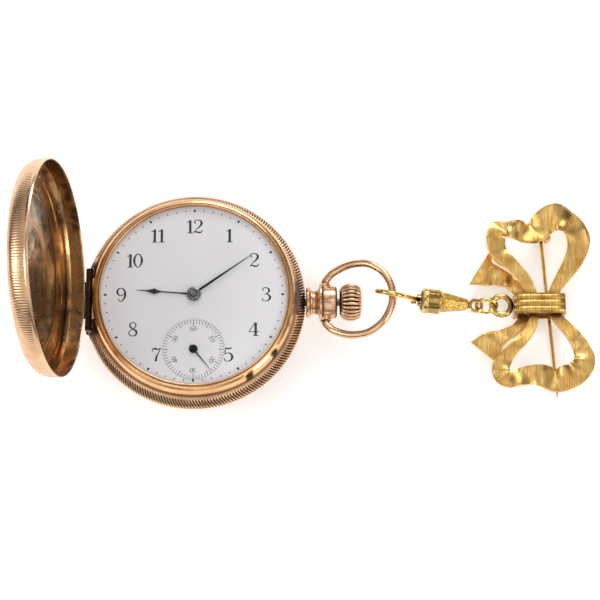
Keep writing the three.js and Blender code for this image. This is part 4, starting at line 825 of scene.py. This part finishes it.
seconds_shape = hand([(-0.75, 0.12), (0.2, 0.14), (2.0, 0.075), (seconds_length, 0.03)], seconds_turn, seconds_low.z, 0.1, at=(0, -8.75))
finished("seconds_hand_blade", welded(seconds_shape, hub(0.66, seconds_low.z, seconds_high.z, at=(0, -8.75))), "fourth", blued_steel,
         ["seconds_hand"])

# %% [markdown]
# ## Front cover
# The open cover is spun shut over the dial first, where its heights are easy to read, and then
# swung about the hinge line. Outside it is a thin polished dome with a finely milled edge; inside
# it has a mirror disc, a step, a machined ring and a deep cove that swallows the bezel. Its inside
# shows rings turned by the lathe and a century of tarnish.

# %% Cover place and finish
lid_pin = [(low + high) / 2 for low, high in zip(*corners("front_hinge_pin"))]
HINGE = Vector((lid_pin[0], 0, lid_pin[2]))
SWING = -math.radians(abs(next(j for j in frame["joints"] if j["name"] == "lid_hinge")["range_deg"][0]))
shut_to_open = Matrix.Translation(HINGE) @ Matrix.Rotation(SWING, 4, "Y") @ Matrix.Translation(-HINGE)
open_to_shut = shut_to_open.inverted()


def lid_gold(name, bright, brown, ring_mm, ring_strength, tarnish, rough):
    """Gold with lathe rings round the cover's own axis and large soft blotches of tarnish, darkened further by the
    stored grime and painted shade.
    """
    material, shader = new_finish(name, metallic=1.0)
    tree = material.node_tree
    place = add_node(tree, "ShaderNodeTexCoord").outputs["Object"]
    shut = add_node(tree, "ShaderNodeMapping", inputs={
        "Vector": place, "Rotation": open_to_shut.to_euler(), "Location": open_to_shut.translation * MM})
    flat = add_node(tree, "ShaderNodeVectorMath", {"operation": "MULTIPLY"}, {0: shut.outputs["Vector"], 1: (1.0, 1.0, 0.0)})
    radius = add_node(tree, "ShaderNodeVectorMath", {"operation": "LENGTH"}, {0: flat.outputs[0]})
    rings = add_node(tree, "ShaderNodeTexNoise", {"noise_dimensions": "1D"}, {
        "W": radius.outputs["Value"], "Scale": 1 / (ring_mm * MM), "Detail": 3.0, "Roughness": 0.7})
    blotches = add_node(tree, "ShaderNodeTexNoise", inputs={
        "Vector": shut.outputs["Vector"], "Scale": 1 / (3.4 * MM), "Detail": 7.0, "Roughness": 0.62, "Distortion": 0.6})
    grime_and_shade = add_node(tree, "ShaderNodeAttribute", {"attribute_name": "grime_and_shade"})
    darkening = add_node(tree, "ShaderNodeMapRange", inputs={
        "Value": blotches.outputs["Fac"], "From Min": 0.4, "From Max": 0.68, "To Max": tarnish})
    # The stored grime and painted shade add to the tarnish blotches in colour and roughness.
    tarnish_grime_and_shade = add_node(tree, "ShaderNodeMath", {"operation": "MULTIPLY_ADD", "use_clamp": True}, {
        0: grime_and_shade.outputs["Fac"], 1: 0.9, 2: darkening.outputs["Result"]})
    colour = add_node(tree, "ShaderNodeMix", {"data_type": "RGBA"}, {
        0: tarnish_grime_and_shade.outputs["Value"], 6: paint(bright), 7: paint(brown)})
    roughness = add_node(tree, "ShaderNodeMapRange", inputs={
        "Value": tarnish_grime_and_shade.outputs["Value"], "To Min": rough[0], "To Max": rough[1]})
    bump = add_node(tree, "ShaderNodeBump", inputs={
        "Height": rings.outputs["Fac"], "Strength": ring_strength, "Distance": 0.03 * MM})
    tree.links.new(colour.outputs[2], shader.inputs["Base Color"])
    tree.links.new(roughness.outputs["Result"], shader.inputs["Roughness"])
    tree.links.new(bump.outputs["Normal"], shader.inputs["Normal"])
    return material


lid_disc_gold = lid_gold("tarnished_lid_disc", "#DCCBB0", "#6B5643", 0.5, 0.03, 1.0, (0.08, 0.34))
lid_ring_gold = lid_gold("turned_lid_rings", "#DBAC74", "#55402E", 0.26, 0.7, 0.85, (0.14, 0.4))

# %% Cover shell
EDGE = bezel_radius + 0.15  # inner face of the cover's upright wall
OUT = 16.26
LID_RIM = ring_top + 0.06


def dome_in(r):
    return 11.5 - 0.85 * (r / 14.4) ** 2


def dome_out(r):
    return 12.0 - 0.95 * (r / 14.4) ** 2


disc_outline = [[0, dome_in(0)], [3, dome_in(3)], [6, dome_in(6)], [9, dome_in(9)], [11.2, dome_in(11.2)], [11.3, 11.1], [0, 11.6]]
disc = turned(disc_outline, steps=96)
# Painted shade darkens the mirror disc towards the step at its edge.
soil(disc, lambda p: max(0.0, (math.hypot(p.x, p.y) - 10.4) * 0.8))
lid_shapes = {"lid_mirror_disc": (disc, lid_disc_gold)}
rings_outline = [[11.28, 11.12], [11.4, 11.16], [11.55, 10.98], [11.95, 10.95], [12.05, 11.02], [12.3, 10.98], [13.4, 10.82],
                 [14.0, 10.74], [14.1, 10.62], [14.45, 10.5], [14.62, 10.56], [14.8, 10.5], [15.2, 10.42], [15.55, 10.15],
                 [EDGE, 9.7], [EDGE, LID_RIM + 0.2], [EDGE + 0.12, LID_RIM], [15.98, LID_RIM + 0.5], [15.98, 9.8],
                 [15.3, 10.62], [11.28, 11.3]]
inside = turned(rings_outline, steps=160, rounding=0.03)


# Grime and painted shade in the step round the disc, in the cove and low on the inner wall.
def inside_grime(p):
    radius = math.hypot(p.x, p.y)
    deep = 0.85 if radius < 11.6 else 0.0
    cove = 0.55 * max(0.0, 1 - abs(radius - 15.35) / 0.5)
    wall = 0.5 if radius > 15.7 and p.z < 8.6 else 0.0
    return max(deep, cove, wall)


soil(inside, inside_grime)
lid_shapes["lid_inside_rings"] = (inside, lid_ring_gold)
shell_outline = [[0, 11.65], [14.4, 10.9], [15.35, 10.66], [16.0, 9.8], [16.0, LID_RIM + 0.42], [EDGE + 0.1, LID_RIM],
                 [16.02, LID_RIM - 0.03], [16.16, LID_RIM - 0.04], [OUT - 0.02, LID_RIM + 0.1], [OUT, LID_RIM + 0.26], [OUT - 0.02, LID_RIM + 0.42],
                 [16.2, LID_RIM + 0.52], [16.22, 8.25], [16.2, 8.8], [16.12, 9.4], [15.98, 9.9], [15.74, 10.4], [15.4, 10.8],
                 [15.0, 10.96], [14.4, dome_out(14.4)], [12, dome_out(12)], [9, dome_out(9)], [6, dome_out(6)], [3, dome_out(3)], [0, dome_out(0)]]
shell = turned(shell_outline, steps=1000)
reeded(shell, 250, 0.04, 0.0, lambda r, z, a: 1.0 if (8.22 < z < 10.7 and r > 15.3) else 0.0, 9.5, darkening=0.3)
lid_shapes["lid_outer_shell"] = (shell, rose_gold)
for name, (shape, finish) in lid_shapes.items():
    bmesh.ops.transform(shape, matrix=shut_to_open, verts=shape.verts[:])
    finished(name, shape, "front_cover", finish, ["front_cover"] if name == "lid_outer_shell" else [], sharp=40)
print("cover swung by", round(math.degrees(SWING), 1), "degrees about", [round(c, 2) for c in HINGE])

# %% [markdown]
# ## Hinges
# Three hinges share the recess at 9 o'clock: the front cover's above, the back cover's below and
# the inner cover's tucked inside. Each is five little tubes on a pin, taken in turn by the case
# and the cover. A leaf joins every tube to its part.

# %% Hinge tubes and leaves
def tube(x, z, y_middle, length=1.94, radius=0.52):
    """A hinge tube along Y."""
    bm = turned([[0.22, -length / 2], [radius, -length / 2], [radius, length / 2], [0.22, length / 2]], steps=28, rounding=0.05)
    bmesh.ops.rotate(bm, cent=(0, 0, 0), matrix=Matrix.Rotation(math.radians(90), 3, "X"), verts=bm.verts[:])
    bmesh.ops.translate(bm, vec=(x, y_middle, z), verts=bm.verts[:])
    return bm


back_pin_low, back_pin_high = corners("back_hinge_pin")
back_x, back_z = (back_pin_low.x + back_pin_high.x) / 2, (back_pin_low.z + back_pin_high.z) / 2
lid_tubes = []
for y in (-2, 2):
    lid_tubes += [tube(HINGE.x, HINGE.z, y), block((HINGE.x - 0.5, y - 0.97, HINGE.z), (HINGE.x - 0.05, y + 0.97, HINGE.z + 1.0), 0.08)]
lid_hinge = welded(*lid_tubes)
soil(lid_hinge, lambda p: 0.6)
bmesh.ops.transform(lid_hinge, matrix=shut_to_open, verts=lid_hinge.verts[:])
finished("lid_hinge_tubes", lid_hinge, "front_cover", hinge_gold)
case_tubes = []
for y in (-4, 0, 4):
    case_tubes += [tube(HINGE.x, HINGE.z, y), block((HINGE.x + 0.1, y - 0.97, 6.0), (-15.9, y + 0.97, 6.8), 0.06),
                   tube(back_x, back_z, y), block((back_x + 0.1, y - 0.97, back_z + 0.1), (-15.9, y + 0.97, 5.6), 0.06)]
case_hinge = welded(*case_tubes)
soil(case_hinge, lambda p: 0.65)
finished("case_hinge_tubes", case_hinge, "case", hinge_gold)

# %% [markdown]
# ## Back cover
# The back cover is a shallow dish on the same kind of hinge, polished and plain, with a milled edge.
# Behind it a thinner inner cover keeps dust off the wheels; it keeps its CAD shape, and only the back cover is spun as
# a thin wall.

# %% Back cover
back_low, back_high = corners("back_cover")
dust_low, dust_high = corners("dust_cover")


def dish(r, lift):
    return lift + (3.1 * ((r - 5.5) / 10.6) ** 3.2 if r > 5.5 else 0.0)


radii = [0, 5.5, 8, 10, 12, 13.4, 14.6]
outer_dish = [[r, dish(r, 0)] for r in radii] + [[15.5, dish(15.5, 0)], [15.9, 2.9], [16.15, 3.3], [16.3, 3.75], [16.3, 4.0], [16.2, back_high.z]]
inner_dish = [[15.95, back_high.z], [15.85, 3.6], [15.3, 2.95]] + [[r, dish(r, 0.5)] for r in reversed(radii)]
back = turned(outer_dish + inner_dish, steps=720)
reeded(back, 180, 0.07, 0.0, lambda r, z, a: 1.0 if (r > 15.7 and z < 3.9) else 0.0, 3.5)
back_tubes = [tube(back_x, back_z, y) for y in (-2, 2)]
back_leaves = [block((back_x - 0.4, y - 0.97, 3.7), (-15.95, y + 0.97, back_z), 0.06) for y in (-2, 2)]
finished("back_cover_shell", welded(back, *back_tubes, *back_leaves), "back_cover", rose_gold, ["back_cover"])

# %% [markdown]
# ## Lid catch
# A curved steel spring lies in the channel beside the bezel at 3 o'clock, and its nose locks the
# cover. Pressing the crown bends it inwards. A part turn of a small cross-section is all it needs,
# and a second one makes the steel liner let into the ledge beside it, where the cover rubs.

# %% Catch
catch_low, catch_high = corners("lid_catch")
strip = turned([[15.36, catch_high.z - 1.1], [15.36, ring_top - 0.72], [15.66, ring_top - 0.72], [15.66, catch_high.z - 1.1]],
               steps=24, rounding=0.05, sweep=29)
nose = block((15.6, -1.0, ring_top - 1.0), (catch_high.x, 1.0, catch_high.z), 0.07)
finished("catch_spring", welded(strip, nose), "lid_catch", spring_steel, ["lid_catch"])
lip = turned([[15.84, ring_top - 0.1], [15.84, ring_top + 0.006], [16.2, ring_top + 0.006], [16.37, ring_top - 0.14], [16.2, ring_top - 0.2]],
             steps=30, sweep=19)
finished("catch_liner", lip, "case", polished_steel)

# %% [markdown]
# ## Pendant, crown and bow
# The pendant is turned: a bulb against the case, a waist, a thin flange and a collar that carries
# the bow in two bosses. Its outline is written as radius against distance and laid along X.

# %% Pendant
collar_end = crown_low.x - 0.45
neck_outline = [[0.75, 17.34], [2.2, 17.34], [2.38, 17.5], [2.4, 17.75], [2.24, 17.98], [2.02, 18.1], [1.98, 18.3], [1.78, 18.42], [1.76, 18.75],
                [1.84, 19.02], [2.0, 19.12], [2.1, 19.22], [2.9, 19.42], [3.04, 19.52], [3.04, 19.72], [2.95, 19.79], [2.62, 19.82],
                [2.5, 19.95], [2.53, 20.6], [2.53, 21.6], [2.45, 21.95], [2.2, collar_end], [1.3, collar_end], [1.25, collar_end - 0.2], [0.75, collar_end - 0.2]]
pendant = turned(neck_outline, steps=72)
# Grime and painted shade in the waist, under the flange, at the collar's end and where the bulb meets the case.
soil(pendant, lambda p: 0.6 if 18.7 < p.z < 19.15 else (0.7 if 19.8 < p.z < 19.98 or p.z > 21.9 else (0.6 if p.z < 17.5 else 0.0)))
along_x(pendant, z=stem_z)
for side in (-1, 1):
    boss = turned([[0.55, 1.6], [0.95, 1.6], [0.96, 2.6], [0.9, 2.9], [0.75, 3.04], [0.55, 3.05]], steps=36)
    # Grime and painted shade at both ends of each boss.
    soil(boss, lambda p: 0.8 if p.z > 2.95 or p.z < 2.45 else 0.0)
    bmesh.ops.rotate(boss, cent=(0, 0, 0), matrix=Matrix.Rotation(math.radians(-90 * side), 3, "X"), verts=boss.verts[:])
    bmesh.ops.translate(boss, vec=(20.34, 0, stem_z), verts=boss.verts[:])
    pendant = welded(pendant, boss)
finished("turned_pendant", pendant, "case", rose_gold, ["pendant"])

# %% [markdown]
# The crown is a fluted barrel. Rather than cut each flute, the spun blank's points are pressed
# towards the axis by a sharpened cosine, so the ridges stay narrow and the valleys wide and dark;
# the valleys also get grime and painted shade.

# %% Crown
crown_radius = (crown_high.z - crown_low.z) / 2
crown_length = crown_high.x - crown_low.x
barrel = [[0.75, 0.0], [crown_radius * 0.64, 0.0]]
for i in range(1, 20):
    x = 0.02 + (crown_length - 0.04) * i / 20
    barrel.append([crown_radius * (0.66 + 0.34 * math.sin(math.pi * i / 20) ** 0.52), x])
barrel += [[crown_radius * 0.64, crown_length], [1.82, crown_length - 0.02],
           [1.8, crown_length - 0.12], [1.75, crown_length - 0.6], [0, crown_length - 0.7], [0, 1.2], [0.75, 1.2]]
FLUTES = 26
crown = turned(barrel, steps=FLUTES * 10)
# Grime and painted shade in the flute valleys, on the face against the collar and in the hollow end.
grime_and_shade = crown.verts.layers.float["grime_and_shade"]
for vert in crown.verts:
    radius = math.hypot(vert.co.x, vert.co.y)
    if radius > crown_radius * 0.65:
        wave = abs(math.cos(FLUTES / 2 * math.atan2(vert.co.y, vert.co.x))) ** 4
        ends = min(1.0, min(vert.co.z, crown_length - vert.co.z) / 0.5)
        factor = (radius - 0.24 * ends * wave) / radius
        vert.co.x *= factor
        vert.co.y *= factor
        vert[grime_and_shade] = wave * ends
    elif vert.co.z < 0.02 or radius < 1.85:
        vert[grime_and_shade] = 0.7
along_x(crown, x=crown_low.x, z=stem_z)
finished("fluted_crown", crown, "crown", rose_gold, ["crown"], sharp=50)

# %% [markdown]
# The bow is drawn wire bent to a ring, its ends sprung into the bosses. A Bezier curve through a few
# points makes it in one go; it is drawn flat, tilted about its pivot, and slipped onto the watch.

# %% Bow
BOW_TILT = math.radians(-20.2)
PIVOT = Vector((20.34, 0, stem_z))
half = [(0, 3.1), (0.02, 3.34), (0.42, 3.9), (1.3, 4.67)]
arc = [(5.25 + 5.8 * math.cos(math.radians(a)), 5.8 * math.sin(math.radians(a))) for a in range(84, -90, -28)]
route = half + arc + [(x, -y) for x, y in reversed(half)]
bow = wire([(x, y, 0, 0.6) for x, y in route], sides=8, steps=10)
# Grime and painted shade where the bow's ends go into the bosses.
soil(bow, lambda p: 0.75 * max(0.0, 1 - (abs(p.x) + abs(abs(p.y) - 3.2)) / 0.8))
pins = [turned([[0, 1.95], [0.42, 1.95], [0.42, 3.2], [0, 3.2]], steps=20) for _ in range(2)]
for side, shape in zip((-1, 1), pins):
    bmesh.ops.rotate(shape, cent=(0, 0, 0), matrix=Matrix.Rotation(math.radians(-90 * side), 3, "X"), verts=shape.verts[:])
bow = welded(bow, *pins)
bmesh.ops.transform(bow, matrix=Matrix.Translation(PIVOT) @ Matrix.Rotation(BOW_TILT, 4, "Y"), verts=bow.verts[:])
finished("bow_ring", bow, "bow", rose_gold, ["bow"])

# %% [markdown]
# ## Swivel clasp
# The hook is a flat-sided bar bent over the bow, with a sprung gate under it. It turns in the cup
# of the swivel barrel, whose tapering sides are struck with a bark texture and end in an eye.

# %% Hook and gate
END = Vector((PIVOT.x + 11.05 * math.cos(-BOW_TILT), 0.35, PIVOT.z + 11.05 * math.sin(-BOW_TILT)))
cup_x, cup_y, cup_z = END.x + 4.75, 0.45, 4.55


def hanging(x, z):
    """The hook lies in one plane that leans away from upright, as it does when its chain pulls low."""
    return (x, cup_y + 0.3 * (cup_z - z) + 0.215 * (cup_x - x), z)


hook_path = [(cup_x - 0.25, cup_z + 0.3), (END.x + 3.4, END.z - 2.1), (END.x + 2.0, END.z + 0.3), (END.x + 0.6, END.z + 1.45),
             (END.x - 1.0, END.z + 1.45), (END.x - 2.1, END.z + 0.5), (END.x - 2.3, END.z - 0.8), (END.x - 1.95, END.z - 1.6)]
hook = wire([(*hanging(x, z), 0.4) for x, z in hook_path], sides=4, steps=12)
base = turned([[0, 0], [0.85, 0], [1.0, 0.12], [1.0, 0.62], [0, 0.62]], steps=40)
soil(base, lambda p: 0.5)
along_x(base, cup_x - 0.74, cup_y, cup_z)
finished("swivel_hook_bar", welded(hook, base), "hook", clasp_gold, ["swivel_hook"])
gate_path = [(cup_x - 1.3, cup_z - 0.05), (END.x + 1.4, END.z - 3.3), (END.x - 0.3, END.z - 2.75), (END.x - 1.6, END.z - 2.45)]
gate = wire([(*hanging(x, z), 0.28) for x, z in gate_path], sides=4, steps=8)
knuckle = turned([[0, -0.44], [0.36, -0.44], [0.42, -0.38], [0.42, 0.38], [0.36, 0.44], [0, 0.44]], steps=24)
bmesh.ops.rotate(knuckle, cent=(0, 0, 0), matrix=Matrix.Rotation(math.radians(90), 3, "X"), verts=knuckle.verts[:])
bmesh.ops.translate(knuckle, vec=(cup_x - 1.3, 0.35, cup_z - 0.05), verts=knuckle.verts[:])
finished("sprung_gate", welded(gate, knuckle), "gate", clasp_gold, ["swivel_gate"])

# %% Swivel barrel
EYE = Vector((cup_x + 3.0 + 4.6 + 0.9 + 0.1, 0, 3.0))
START = Vector((cup_x, cup_y, cup_z))
lean = Vector((1, 0, 0)).rotation_difference(EYE - START).to_matrix().to_4x4()
cup = turned([[0, 0.3], [1.15, 0.3], [1.5, 0.12], [1.7, 0.04], [1.95, 0.12], [2.05, 0.35], [2.05, 0.7], [1.92, 0.85], [1.92, 2.5], [2.03, 2.62],
              [2.03, 2.8], [1.85, 2.98], [1.2, 3.1], [0, 3.1]], steps=64)
# Painted shade in the mouth of the cup round the hook, and grime and painted shade in its two grooves.
soil(cup, lambda p: 0.95 if p.z < 0.32 and math.hypot(p.x, p.y) < 1.6 else (0.55 if 0.8 < p.z < 0.9 or 2.45 < p.z < 2.6 else 0.0))
cone = turned([[0, 3.0], [1.6, 3.0], [1.62, 3.3], [1.45, 4.4], [1.18, 5.8], [0.97, 7.0], [0.8, 7.4], [0.5, 7.6], [0, 7.65]], steps=6, rounding=0.12)
eye_turn = Matrix.Translation(START) @ lean
for shape, name, finish in ((cup, "swivel_cup", clasp_gold), (cone, "tapered_shank", cone_gold)):
    along_x(shape)
    bmesh.ops.transform(shape, matrix=eye_turn, verts=shape.verts[:])
    finished(name, shape, "swivel", finish, ["swivel_barrel"] if name == "swivel_cup" else [], sharp=30)
loop_points = [(0.9 * math.cos(math.radians(a)), 0.9 * math.sin(math.radians(a)), 0, 0.3) for a in range(0, 360, 45)]
eye = wire(loop_points, closed=True, sides=3, steps=6)
bmesh.ops.translate(eye, vec=EYE, verts=eye.verts[:])
finished("swivel_eye", eye, "swivel", clasp_gold)

# %% Jump link and bail
LINK_X = EYE.x + 0.08 + 1.6
oval = [(1.25 * math.cos(math.radians(a)) + 0.35 * math.cos(math.radians(a)), 1.25 * math.sin(math.radians(a)), 0, 0.31) for a in range(0, 360, 30)]
link = wire(oval, closed=True, sides=3, steps=5)
bmesh.ops.rotate(link, cent=(0, 0, 0), matrix=Matrix.Rotation(math.radians(90 - 35), 3, "X"), verts=link.verts[:])
bmesh.ops.translate(link, vec=(LINK_X, 0, 3.0), verts=link.verts[:])
# Grime and painted shade at the link's ends, where it runs through the eye and the bail.
soil(link, lambda p: 0.5 * max(0.0, 1 - abs(abs(p.x - LINK_X) - 1.5) / 0.4))
finished("oval_jump_link", link, "link", clasp_gold, ["jump_link"])
bail_low, bail_high = corners("brooch_bail")
bail_x = (bail_low.x + bail_high.x) / 2
bail = wire([(bail_x + 1.5 * math.cos(math.radians(a)), 1.5 * math.sin(math.radians(a)), 3.0, 0.46) for a in range(0, 360, 45)],
            closed=True, sides=5, steps=8)
# Grime and painted shade on the side of the ring towards the knot.
soil(bail, lambda p: max(0.0, (p.x - bail_x - 0.4) * 0.8))
finished("brooch_bail_ring", bail, "brooch", clasp_gold, ["brooch_bail"])

# %% [markdown]
# ## Ribbon brooch
# Two loops and two tails of flat gold ribbon, cupped and rippled by hand and scored with fine
# strokes. A curve with an extruded width is a natural ribbon: its points carry the place, the half
# width and the tilt, so the ripples come from a handful of numbers, and solidify gives it body.

# %% Ribbons
# Spots on the ribbons darkened with painted shade where they fold: x and y from the knot, and reach.
SHADED_FOLDS = [(-0.4, 10.6, 1.5), (-4.6, 4.4, 1.3), (-3.3, 11.6, 1.2), (5.2, 15.0, 1.6), (5.2, -9.6, 1.3), (-4.8, -12.3, 1.5), (0.4, -10.4, 0.9)]


def ribbon(points, name, stands_for, low, high, rise=0.0, wall=0.42):
    """A rippled strip through [x, y, lift, half width, tilt] points about the knot, kept between two heights."""
    curve = bpy.data.curves.new(name, "CURVE")
    curve.dimensions = "3D"
    curve.extrude = 1
    curve.resolution_u = 10
    spline = curve.splines.new("BEZIER")
    spline.bezier_points.add(len(points) - 1)
    for knot, (x, y, lift, half_width, tilt) in zip(spline.bezier_points, points):
        knot.co = (knot_x + x, y, (low + high) / 2 + lift + rise * min(1.0, abs(y) / 8))
        knot.radius = half_width
        room = min(1.0, ((high - low) / 2 + rise - wall / 2 - abs(lift)) / half_width)
        knot.tilt = math.radians(90) + math.copysign(min(abs(math.radians(tilt)), math.asin(room)), tilt)
        knot.handle_left_type = knot.handle_right_type = "AUTO"
    route = bpy.data.objects.new(name, curve)
    scene.collection.objects.link(route)
    bpy.context.view_layer.update()
    mesh = bpy.data.meshes.new_from_object(route.evaluated_get(bpy.context.evaluated_depsgraph_get()))
    bm = bmesh.new()
    bm.from_mesh(mesh)
    bpy.data.objects.remove(route)
    bpy.data.curves.remove(curve)
    bpy.data.meshes.remove(mesh)
    bmesh.ops.remove_doubles(bm, verts=bm.verts[:], dist=1e-4)
    cross = [e for e in bm.edges if not e.is_boundary]
    ends = [e for e in bm.edges if e.is_boundary and len([f for v in e.verts for f in v.link_faces]) == 2]
    bmesh.ops.subdivide_edges(bm, edges=cross + ends, cuts=5, use_grid_fill=True)
    bmesh.ops.remove_doubles(bm, verts=bm.verts[:], dist=0.09)
    bmesh.ops.recalc_face_normals(bm, faces=bm.faces[:])
    if sum(f.normal.z for f in bm.faces) < 0:
        bmesh.ops.reverse_faces(bm, faces=bm.faces[:])
    bmesh.ops.solidify(bm, geom=bm.faces[:], thickness=wall)
    bmesh.ops.translate(bm, vec=(0, 0, -wall / 2), verts=bm.verts[:])
    rim = [e for e in bm.edges if len(e.link_faces) == 2 and e.calc_face_angle() > 1.2]
    rolled = bmesh.ops.bevel(bm, geom=rim, offset=0.1, clamp_overlap=True, offset_type="OFFSET", segments=2, profile=0.5, affect="EDGES", material=-1)
    for face in rolled["faces"]:
        face.material_index = 1
    print(name, "heights", round(min(v.co.z for v in bm.verts), 2), round(max(v.co.z for v in bm.verts), 2))
    bm.verts.layers.float.new("grime_and_shade")
    # Painted shade where the ribbons run under the knot and in the listed folds.
    soil(bm, lambda p: 0.75 * max(0.0, 1 - abs(abs(p.y) - 1.5) / 1.3))
    for x, y, reach in SHADED_FOLDS:
        soil(bm, lambda p: 0.9 * max(0.0, 1 - math.hypot((p.x - knot_x - x) * 1.6, p.y - y) / reach))
    piece = finished(name, bm, "brooch", ribbon_gold, stands_for, sharp=30)
    piece.data.materials.append(clasp_gold)
    return piece


loop_low, loop_high = corners("ribbon_loop_upper")
tail_low, tail_high = corners("ribbon_tail_upper")
upper_loop = [(-0.9, 1.4, 0, 0.8, 0), (-2.3, 4.3, 0.1, 0.95, -12), (-4.2, 6.5, 0.1, 1.05, -18), (-6.1, 8.7, -0.1, 1.45, 14), (-6.5, 11.0, 0.2, 1.6, 12),
              (-6.0, 12.4, 0.3, 1.5, -14), (-4.9, 12.75, -0.1, 1.6, -24), (-3.2, 12.3, 0.25, 1.6, 20), (-1.5, 11.85, -0.15, 1.75, -14), (-0.2, 12.15, -0.35, 1.95, -22),
              (1.2, 13.4, 0.2, 2.05, 8), (2.9, 14.35, 0.35, 2.15, 14), (4.9, 13.9, -0.1, 2.35, -18), (6.3, 12.1, 0.1, 2.0, -14), (6.5, 9.7, 0.25, 1.75, 8),
              (5.6, 7.2, 0.15, 1.5, 12), (4.2, 5.0, 0, 1.2, 4), (2.8, 2.8, 0, 0.9, 0), (2.0, 1.4, 0, 0.75, 0)]
lower_loop = [(-0.7, -1.4, 0, 0.65, 0), (-1.4, -3.5, 0, 0.8, 10), (-2.8, -5.6, 0.1, 0.85, 14), (-4.4, -7.3, 0, 0.95, -8), (-5.7, -8.9, 0, 1.15, -12),
              (-6.5, -10.7, 0.2, 1.45, 12), (-5.7, -12.0, 0.1, 1.4, -10), (-3.7, -11.85, 0.2, 1.4, -16), (-1.8, -11.5, -0.1, 1.5, 16), (0.1, -11.7, 0.2, 1.85, -8),
              (1.9, -12.3, -0.15, 1.95, -16), (3.7, -12.0, 0.25, 1.95, 12), (5.5, -11.0, 0.1, 1.85, -10), (6.6, -9.4, 0.3, 1.65, 10), (6.3, -7.4, -0.1, 1.4, -14),
              (5.4, -5.5, 0.1, 1.2, 8), (4.1, -3.7, 0, 1.0, 6), (2.8, -2.2, 0, 0.85, 0), (2.2, -1.3, 0, 0.75, 0)]
upper_tail = [(-2.1, 0.9, 0, 0.95, 0), (-2.7, 2.5, 0, 1.05, -10), (-4.4, 4.3, 0.1, 1.2, 14), (-6.4, 5.3, -0.1, 1.5, -16), (-7.9, 5.7, 0.1, 2.2, 8), (-9.2, 6.5, 0, 3.15, 0)]
lower_tail = [(-2.1, -0.9, 0, 0.85, 0), (-2.4, -2.0, 0, 0.95, 8), (-3.7, -3.6, 0.1, 0.9, -12), (-5.7, -4.6, -0.05, 1.1, 14), (-7.5, -5.8, 0.1, 2.0, -8), (-8.8, -7.4, 0, 2.75, 0)]
ribbon(upper_loop, "upper_ribbon_loop", ["ribbon_loop_upper"], loop_low.z, loop_high.z, rise=0.6)
ribbon(lower_loop, "lower_ribbon_loop", ["ribbon_loop_lower"], loop_low.z, loop_high.z, rise=0.6)
ribbon(upper_tail, "upper_ribbon_tail", ["ribbon_tail_upper"], tail_low.z, tail_high.z)
ribbon(lower_tail, "lower_ribbon_tail", ["ribbon_tail_lower"], tail_low.z, tail_high.z)

# %% [markdown]
# The knot is a strap wrapped round the ribbons, with long ridges and rolled edges. Its cross-section
# along Y is a row of shallow ribs, so a block is sliced finely and its top points are lowered by a cosine across it.

# %% Knot
knot = bmesh.new()
bmesh.ops.create_cube(knot, size=1)
size = knot_high - knot_low
bmesh.ops.scale(knot, vec=size, verts=knot.verts[:])
bmesh.ops.translate(knot, vec=(knot_low + knot_high) / 2, verts=knot.verts[:])
for i in range(1, 24):
    bmesh.ops.bisect_plane(knot, geom=knot.verts[:] + knot.edges[:] + knot.faces[:], dist=1e-5,
                           plane_co=(0, knot_low.y + size.y * i / 24, 0), plane_no=(0, 1, 0))
for i in range(1, 16):
    bmesh.ops.bisect_plane(knot, geom=knot.verts[:] + knot.edges[:] + knot.faces[:], dist=1e-5,
                           plane_co=(knot_low.x + size.x * i / 16, 0, 0), plane_no=(1, 0, 0))
knot.verts.layers.float.new("grime_and_shade")
grime_and_shade = knot.verts.layers.float["grime_and_shade"]
# Grime and painted shade between the ribs; the sides and underside are darker throughout.
for vert in knot.verts:
    across = (vert.co.y - knot_low.y) / size.y * 2 - 1
    lengthwise = (vert.co.x - knot_x) / (size.x / 2)
    if vert.co.z > knot_high.z - 0.1:
        rib = 0.5 + 0.5 * math.cos(across * math.pi * 3.2)
        roll = 0.24 * abs(across) ** 8
        vert.co.z -= 0.12 * (1 - rib) + roll + 0.42 * abs(lengthwise) ** 6
        vert[grime_and_shade] = 0.55 * (1 - rib) * (0.6 + 0.4 * math.sin(7 * lengthwise))
    else:
        vert[grime_and_shade] = 0.3
hollow = ((knot_x - 3.35, -4, tail_low.z - 0.06), (knot_x + 3.35, 4, loop_high.z + 0.06))
knot_piece = finished("ribbed_knot", knot, "brooch", knot_gold, ["knot_band"], sharp=50)
cut_away(knot_piece, hollow)

# %% [markdown]
# ## The rest of the frame
# The wheels, plates and springs keep their CAD shapes, since they only show when the back is open,
# and each takes the finish of its metal. The finishes are given in a table by node name, and any
# node left out of it takes polished steel.

# %% Dress the movement
dress = {
    "dial": enamel, "dust_cover": rose_gold, "pin_joint": knot_gold, "pin_catch": knot_gold, "pin_stem": clasp_gold,
    "pillar_plate": nickel_plate, "barrel_bridge": nickel_plate, "train_bridge": nickel_plate, "balance_cock": nickel_plate,
    "pallet_cock": nickel_plate, "hairspring": blued_steel, "lift_spring": spring_steel,
    "barrel": wheel_brass, "centre_wheel": wheel_brass, "third_wheel": wheel_brass, "fourth_wheel": wheel_brass,
    "balance": wheel_brass, "hour_wheel": wheel_brass, "minute_wheel": wheel_brass,
}
stood_for = {n for o in scene.objects for n in o.get("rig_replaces", [])}
for node, piece in frame["nodes"].items():
    if node in stood_for:
        continue
    piece.data.materials.clear()
    piece.data.materials.append(dress.get(node, polished_steel))
print("kept CAD nodes:", sorted(set(frame["nodes"]) - stood_for))
